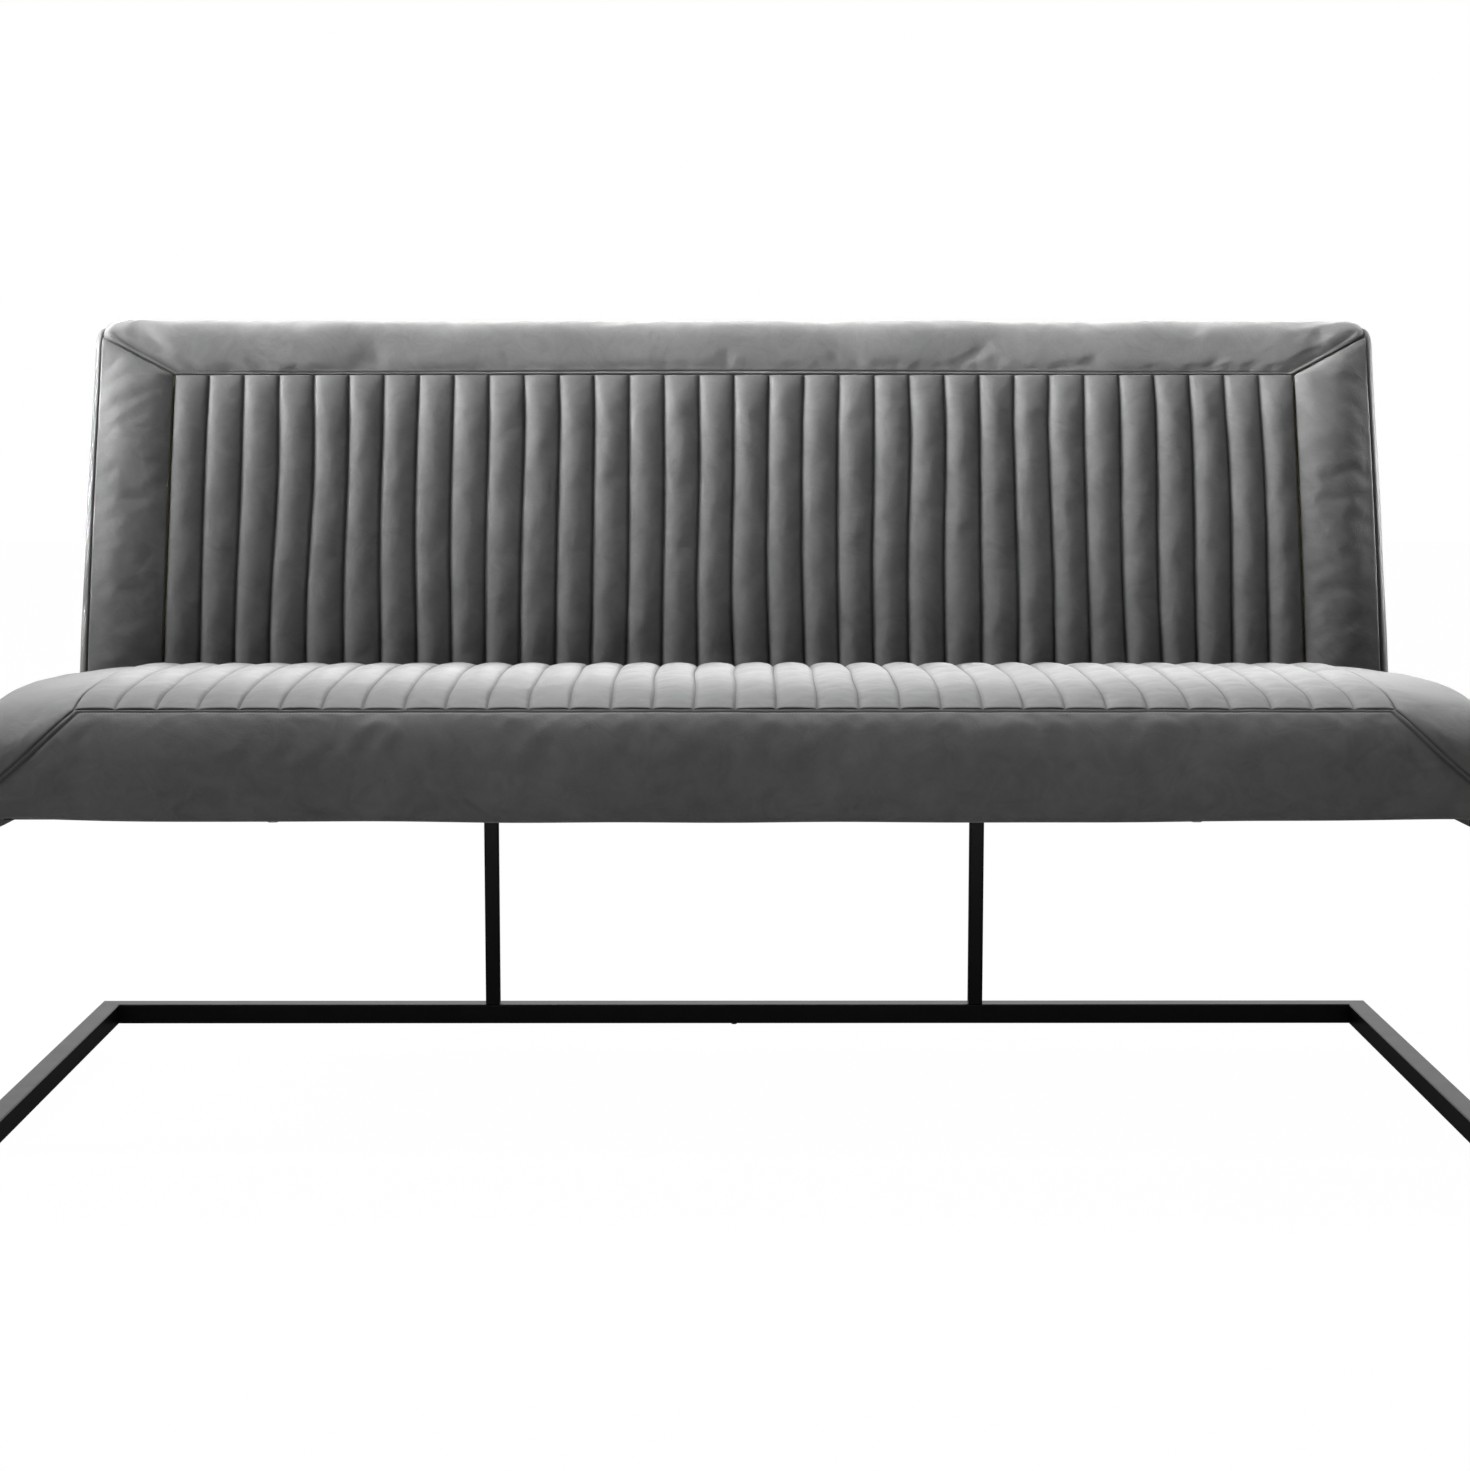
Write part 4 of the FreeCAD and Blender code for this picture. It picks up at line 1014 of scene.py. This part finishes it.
def stitch_tree():
    """Geometry nodes: one small spindle every few mm along each line, lying along it."""
    tree = bpy.data.node_groups.new("stitch_row", "GeometryNodeTree")
    face = tree.interface
    face.new_socket(name="Lines", in_out="INPUT", socket_type="NodeSocketGeometry")
    named = {}
    for name in ("Pitch", "Length", "Thickness"):
        named[name] = face.new_socket(name=name, in_out="INPUT", socket_type="NodeSocketFloat")
    named["Seed"] = face.new_socket(name="Seed", in_out="INPUT", socket_type="NodeSocketInt")
    named["Thread"] = face.new_socket(name="Thread", in_out="INPUT", socket_type="NodeSocketMaterial")
    face.new_socket(name="Stitches", in_out="OUTPUT", socket_type="NodeSocketGeometry")

    def node(kind, settings=(), **links):
        made = tree.nodes.new(kind)
        for key, value in dict(settings).items():
            setattr(made, key, value)
        for key, value in links.items():
            target = made.inputs[key.replace("_", " ")]
            if isinstance(value, bpy.types.NodeSocket):
                tree.links.new(value, target)
            else:
                target.default_value = value
        return made

    given = node("NodeGroupInput").outputs
    curve = node("GeometryNodeMeshToCurve", Mesh=given["Lines"]).outputs["Curve"]
    even = node("GeometryNodeResampleCurve", {"mode": "LENGTH"}, Curve=curve, Length=given["Pitch"])
    tangent = node("GeometryNodeInputTangent").outputs[0]
    spindle = node("GeometryNodeMeshUVSphere", Segments=4, Rings=3, Radius=0.5).outputs[0]
    uneven = node("FunctionNodeRandomValue", {"data_type": "FLOAT"}, Seed=given["Seed"])
    uneven.inputs[2].default_value, uneven.inputs[3].default_value = 0.85, 1.1
    long = node("ShaderNodeMath", {"operation": "MULTIPLY"})
    tree.links.new(given["Length"], long.inputs[0])
    tree.links.new(uneven.outputs[1], long.inputs[1])
    size = node("ShaderNodeCombineXYZ", X=given["Thickness"], Y=given["Thickness"], Z=long.outputs[0])
    turn = node("FunctionNodeAlignRotationToVector", {"axis": "Z"}, Vector=tangent).outputs[0]
    rows = node("GeometryNodeInstanceOnPoints", Points=even.outputs[0], Instance=spindle, Rotation=turn,
                Scale=size.outputs[0])
    solid = node("GeometryNodeRealizeInstances", Geometry=rows.outputs[0]).outputs[0]
    done = node("GeometryNodeSetMaterial", Geometry=solid, Material=given["Thread"]).outputs[0]
    node("NodeGroupOutput", Stitches=done)
    return tree, {name: socket.identifier for name, socket in named.items()}


STITCH_TREE, STITCH_SOCKETS = stitch_tree()


def lying_on(cover, lines, lift):
    """Lines in mm brought onto a cover's outer face and lifted off it."""
    surface = surface_of(cover)
    laid = []
    for line in lines:
        row = []
        for place in line:
            found, normal, _, _ = surface.find_nearest(Vector(place) * MM)
            row.append(found + normal * lift * MM)
        laid.append(row)
    return laid


STITCH_PITCH, STITCH_LENGTH = 3.4, 2.7


def stitches(name, cover, lines, seed, thickness=0.75, lift=0.1):
    """Rows of stitches along lines on a cover."""
    laid = lying_on(cover, lines, lift)
    points = [place for line in laid for place in line]
    edges, start = [], 0
    for line in laid:
        edges += [(start + k, start + k + 1) for k in range(len(line) - 1)]
        start += len(line)
    mesh = bpy.data.meshes.new(name)
    mesh.from_pydata(points, edges, [])
    piece = placed(name, mesh)
    rows = piece.modifiers.new("stitches", "NODES")
    rows.node_group = STITCH_TREE
    given = {"Pitch": STITCH_PITCH * MM, "Length": STITCH_LENGTH * MM, "Thickness": thickness * MM,
             "Seed": seed, "Thread": THREAD}
    for key, value in given.items():
        rows[STITCH_SOCKETS[key]] = value
    applied(piece)
    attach(piece, "root")
    return piece


def both_sides(line):
    return [line, mirror_grid(line)]


def seam_lines(grid, row_start, row_end):
    """The grid's columns that run along the channel seams."""
    return [grid[row_start:row_end, k] for k in range(0, grid.shape[1], len(CHANNEL_CUTS))]


NOSE_TO_SEAM, SEAM_TO_BROW, BACK_LEAN = 59.0, 49.0, 0.3134


def seat_mitre_line():
    """The topstitch down the apron's right-hand mitre."""
    heights = np.linspace(HEM_Z, 468.0, 60)
    tries = np.linspace(HEM, FRONT_SEAM, 400)
    profile = seat_skin(0, tries)
    reach = mitre_reach(heights)
    line = seat_skin(reach - STITCH_LINE / MITRE_SHARE, np.interp(heights, profile[:, 2], tries))
    return line[reach < LEG_LINE - 3]


def back_mitre_line():
    """The topstitch up the top border's right-hand mitre."""
    x = np.linspace(FIELD_HALF + 3, FACE_HALF - 12, 40)
    z = SEAM_Z + (x - FIELD_HALF) * MITRE_RISE + STITCH_LINE * math.hypot(1, MITRE_RISE)
    return np.stack([x, FOOT_Y + (z - BACK_FOOT) * BACK_LEAN, z], -1)


along_x = np.linspace(-FIELD_HALF + 4, FIELD_HALF - 4, 240)
front_row = seat_skin(along_x, FRONT_SEAM - STITCH_LINE / NOSE_TO_SEAM)
stitches("seat_topstitching", apron_cover, [front_row] + both_sides(seat_mitre_line()), 3)
top_row = back_skin(along_x, SEAM + STITCH_LINE / SEAM_TO_BROW)
stitches("back_topstitching", top_cover, [top_row] + both_sides(back_mitre_line()), 4)
stitches("seat_quilting_thread", seat_field, seam_lines(seat_grid, 1, 48), 5, 0.6, -0.1)
stitches("back_quilting_thread", back_field, seam_lines(back_grid, 4, back_grid.shape[0] - 1), 6, 0.6, -0.1)


# Studio: pale floor, soft lamps, camera

def floor_material():
    """White to the eye, dark in reflections, with the bench's shadow on its paint."""
    s = Shader("pale_studio_floor")
    mirrored = s.ray("Is Glossy Ray")
    seen = s.ray("Is Camera Ray") * 0.94 + s.ray("Is Transmission Ray") * 0.94 + mirrored
    speck = s.noise(40, 3)
    paint = s.node("ShaderNodeBsdfDiffuse", {}, {"Color": s.mix(speck, grey(0.42), grey(0.46))})
    shown = s.mix(mirrored, grey(1.0), grey(0.04))
    glow = s.node("ShaderNodeEmission", {}, {"Color": shown, "Strength": 1.055})
    s.output(s.node("ShaderNodeMixShader", {}, {0: seen, 1: paint, 2: glow}))
    return s.material


FLOOR_RADIUS, FLOOR_SIDES = 14, 96
angles = np.linspace(0, 2 * math.pi, FLOOR_SIDES + 1)[:-1]
edge = [(FLOOR_RADIUS * math.cos(angle), FLOOR_RADIUS * math.sin(angle), 0) for angle in angles]
mesh_object("studio_floor", edge, [tuple(range(FLOOR_SIDES))], floor_material())


def studio_world():
    """White to the eye all round; in reflections white behind the bench and darker on the camera's side."""
    world = bpy.data.worlds.new("studio")
    bpy.context.scene.world = world
    s = Shader("studio", world, "Generated")
    towards_back = s.node("ShaderNodeSeparateXYZ", {}, {0: s.place}, 1)
    backdrop = s.node("ShaderNodeMapRange", {"interpolation_type": "SMOOTHSTEP"}, {
        "Value": towards_back, "From Min": -0.6, "From Max": 0.75, "To Min": 0.03, "To Max": 0.95})
    seen = s.ray("Is Camera Ray") + s.ray("Is Transmission Ray") + s.ray("Is Glossy Ray") * backdrop
    dim = s.node("ShaderNodeBackground", {}, {"Color": grey(1.0), "Strength": 0.012})
    bright = s.node("ShaderNodeBackground", {}, {"Color": grey(1.0), "Strength": 1.0})
    s.output(s.node("ShaderNodeMixShader", {}, {0: seen, 1: dim, 2: bright}), "ShaderNodeOutputWorld")


studio_world()


def softbox(name, place, target, size, power, spread=180):
    """A soft lamp at a place, turned to its target; a small spread in degrees makes it a beam."""
    lamp = bpy.data.lights.new(name, "AREA")
    lamp.shape, lamp.size, lamp.size_y, lamp.energy = "RECTANGLE", size[0], size[1], power
    lamp.spread = math.radians(spread)
    lit = placed(name, lamp)
    lit.location = place
    lit.visible_camera = False
    lit.rotation_euler = (Vector(target) - Vector(place)).to_track_quat("-Z", "Y").to_euler()


SMALL = (0.2, 0.2)
for number, along in enumerate(np.linspace(-1.0, 1.25, 10)):
    softbox(f"upper_softbox_{number}", (along - 0.7, 0.22, 1.12), (along, 0.27, 0.7), SMALL, 0.36, 110)
    softbox(f"upper_side_softbox_{number}", (along - 0.9, 0.22, 1.0), (along, 0.28, 0.84), SMALL, 0.12, 44)
for number, along in enumerate((-0.9, -0.3, 0.3, 0.9)):
    softbox(f"low_front_softbox_{number}", (along, -1.3, 0.30), (along, -0.3, 0.42), (0.4, 0.3), 0.31, 120)
softbox("behind_softbox", (-0.3, 2.3, 4.33), (0, -0.1, 0.48), (2.4, 0.6), 60)
softbox("over_seat_softbox", (0, -0.1, 2.4), (0, -0.1, 0.48), (1.66, 0.1), 3.4, 14)
softbox("high_left_softbox", (-7, -0.5, 5.5), (0, 0.2, 0.65), (2, 2), 150)
softbox("left_rear_softbox", (-6, 0.9, 0.74), (-0.8, 0.28, 0.76), (0.2, 0.2), 1.1, 7)
softbox("right_rear_softbox", (4.0, 0.9, 0.72), (0.8, 0.28, 0.72), (0.3, 0.3), 0.8, 9)

SENSOR, FOCAL_PIXELS, PHOTO_HEIGHT, LEFT_OF_MIDDLE = 36.0, 2816.0, 1471.0, 5.0
LOOKS_DOWN = 6.64
camera_data = bpy.data.cameras.new("photo_camera")
camera_data.sensor_width, camera_data.lens = SENSOR, FOCAL_PIXELS * SENSOR / PHOTO_HEIGHT
camera_data.clip_end = 60
camera = placed("photo_camera", camera_data)
camera.location = (-0.0052, -3.2837, 0.7895)
camera.rotation_euler = (math.radians(90 - LOOKS_DOWN), 0, -math.atan(LEFT_OF_MIDDLE / FOCAL_PIXELS))
bpy.context.scene.camera = camera
bpy.context.scene.view_settings.view_transform = "Standard"
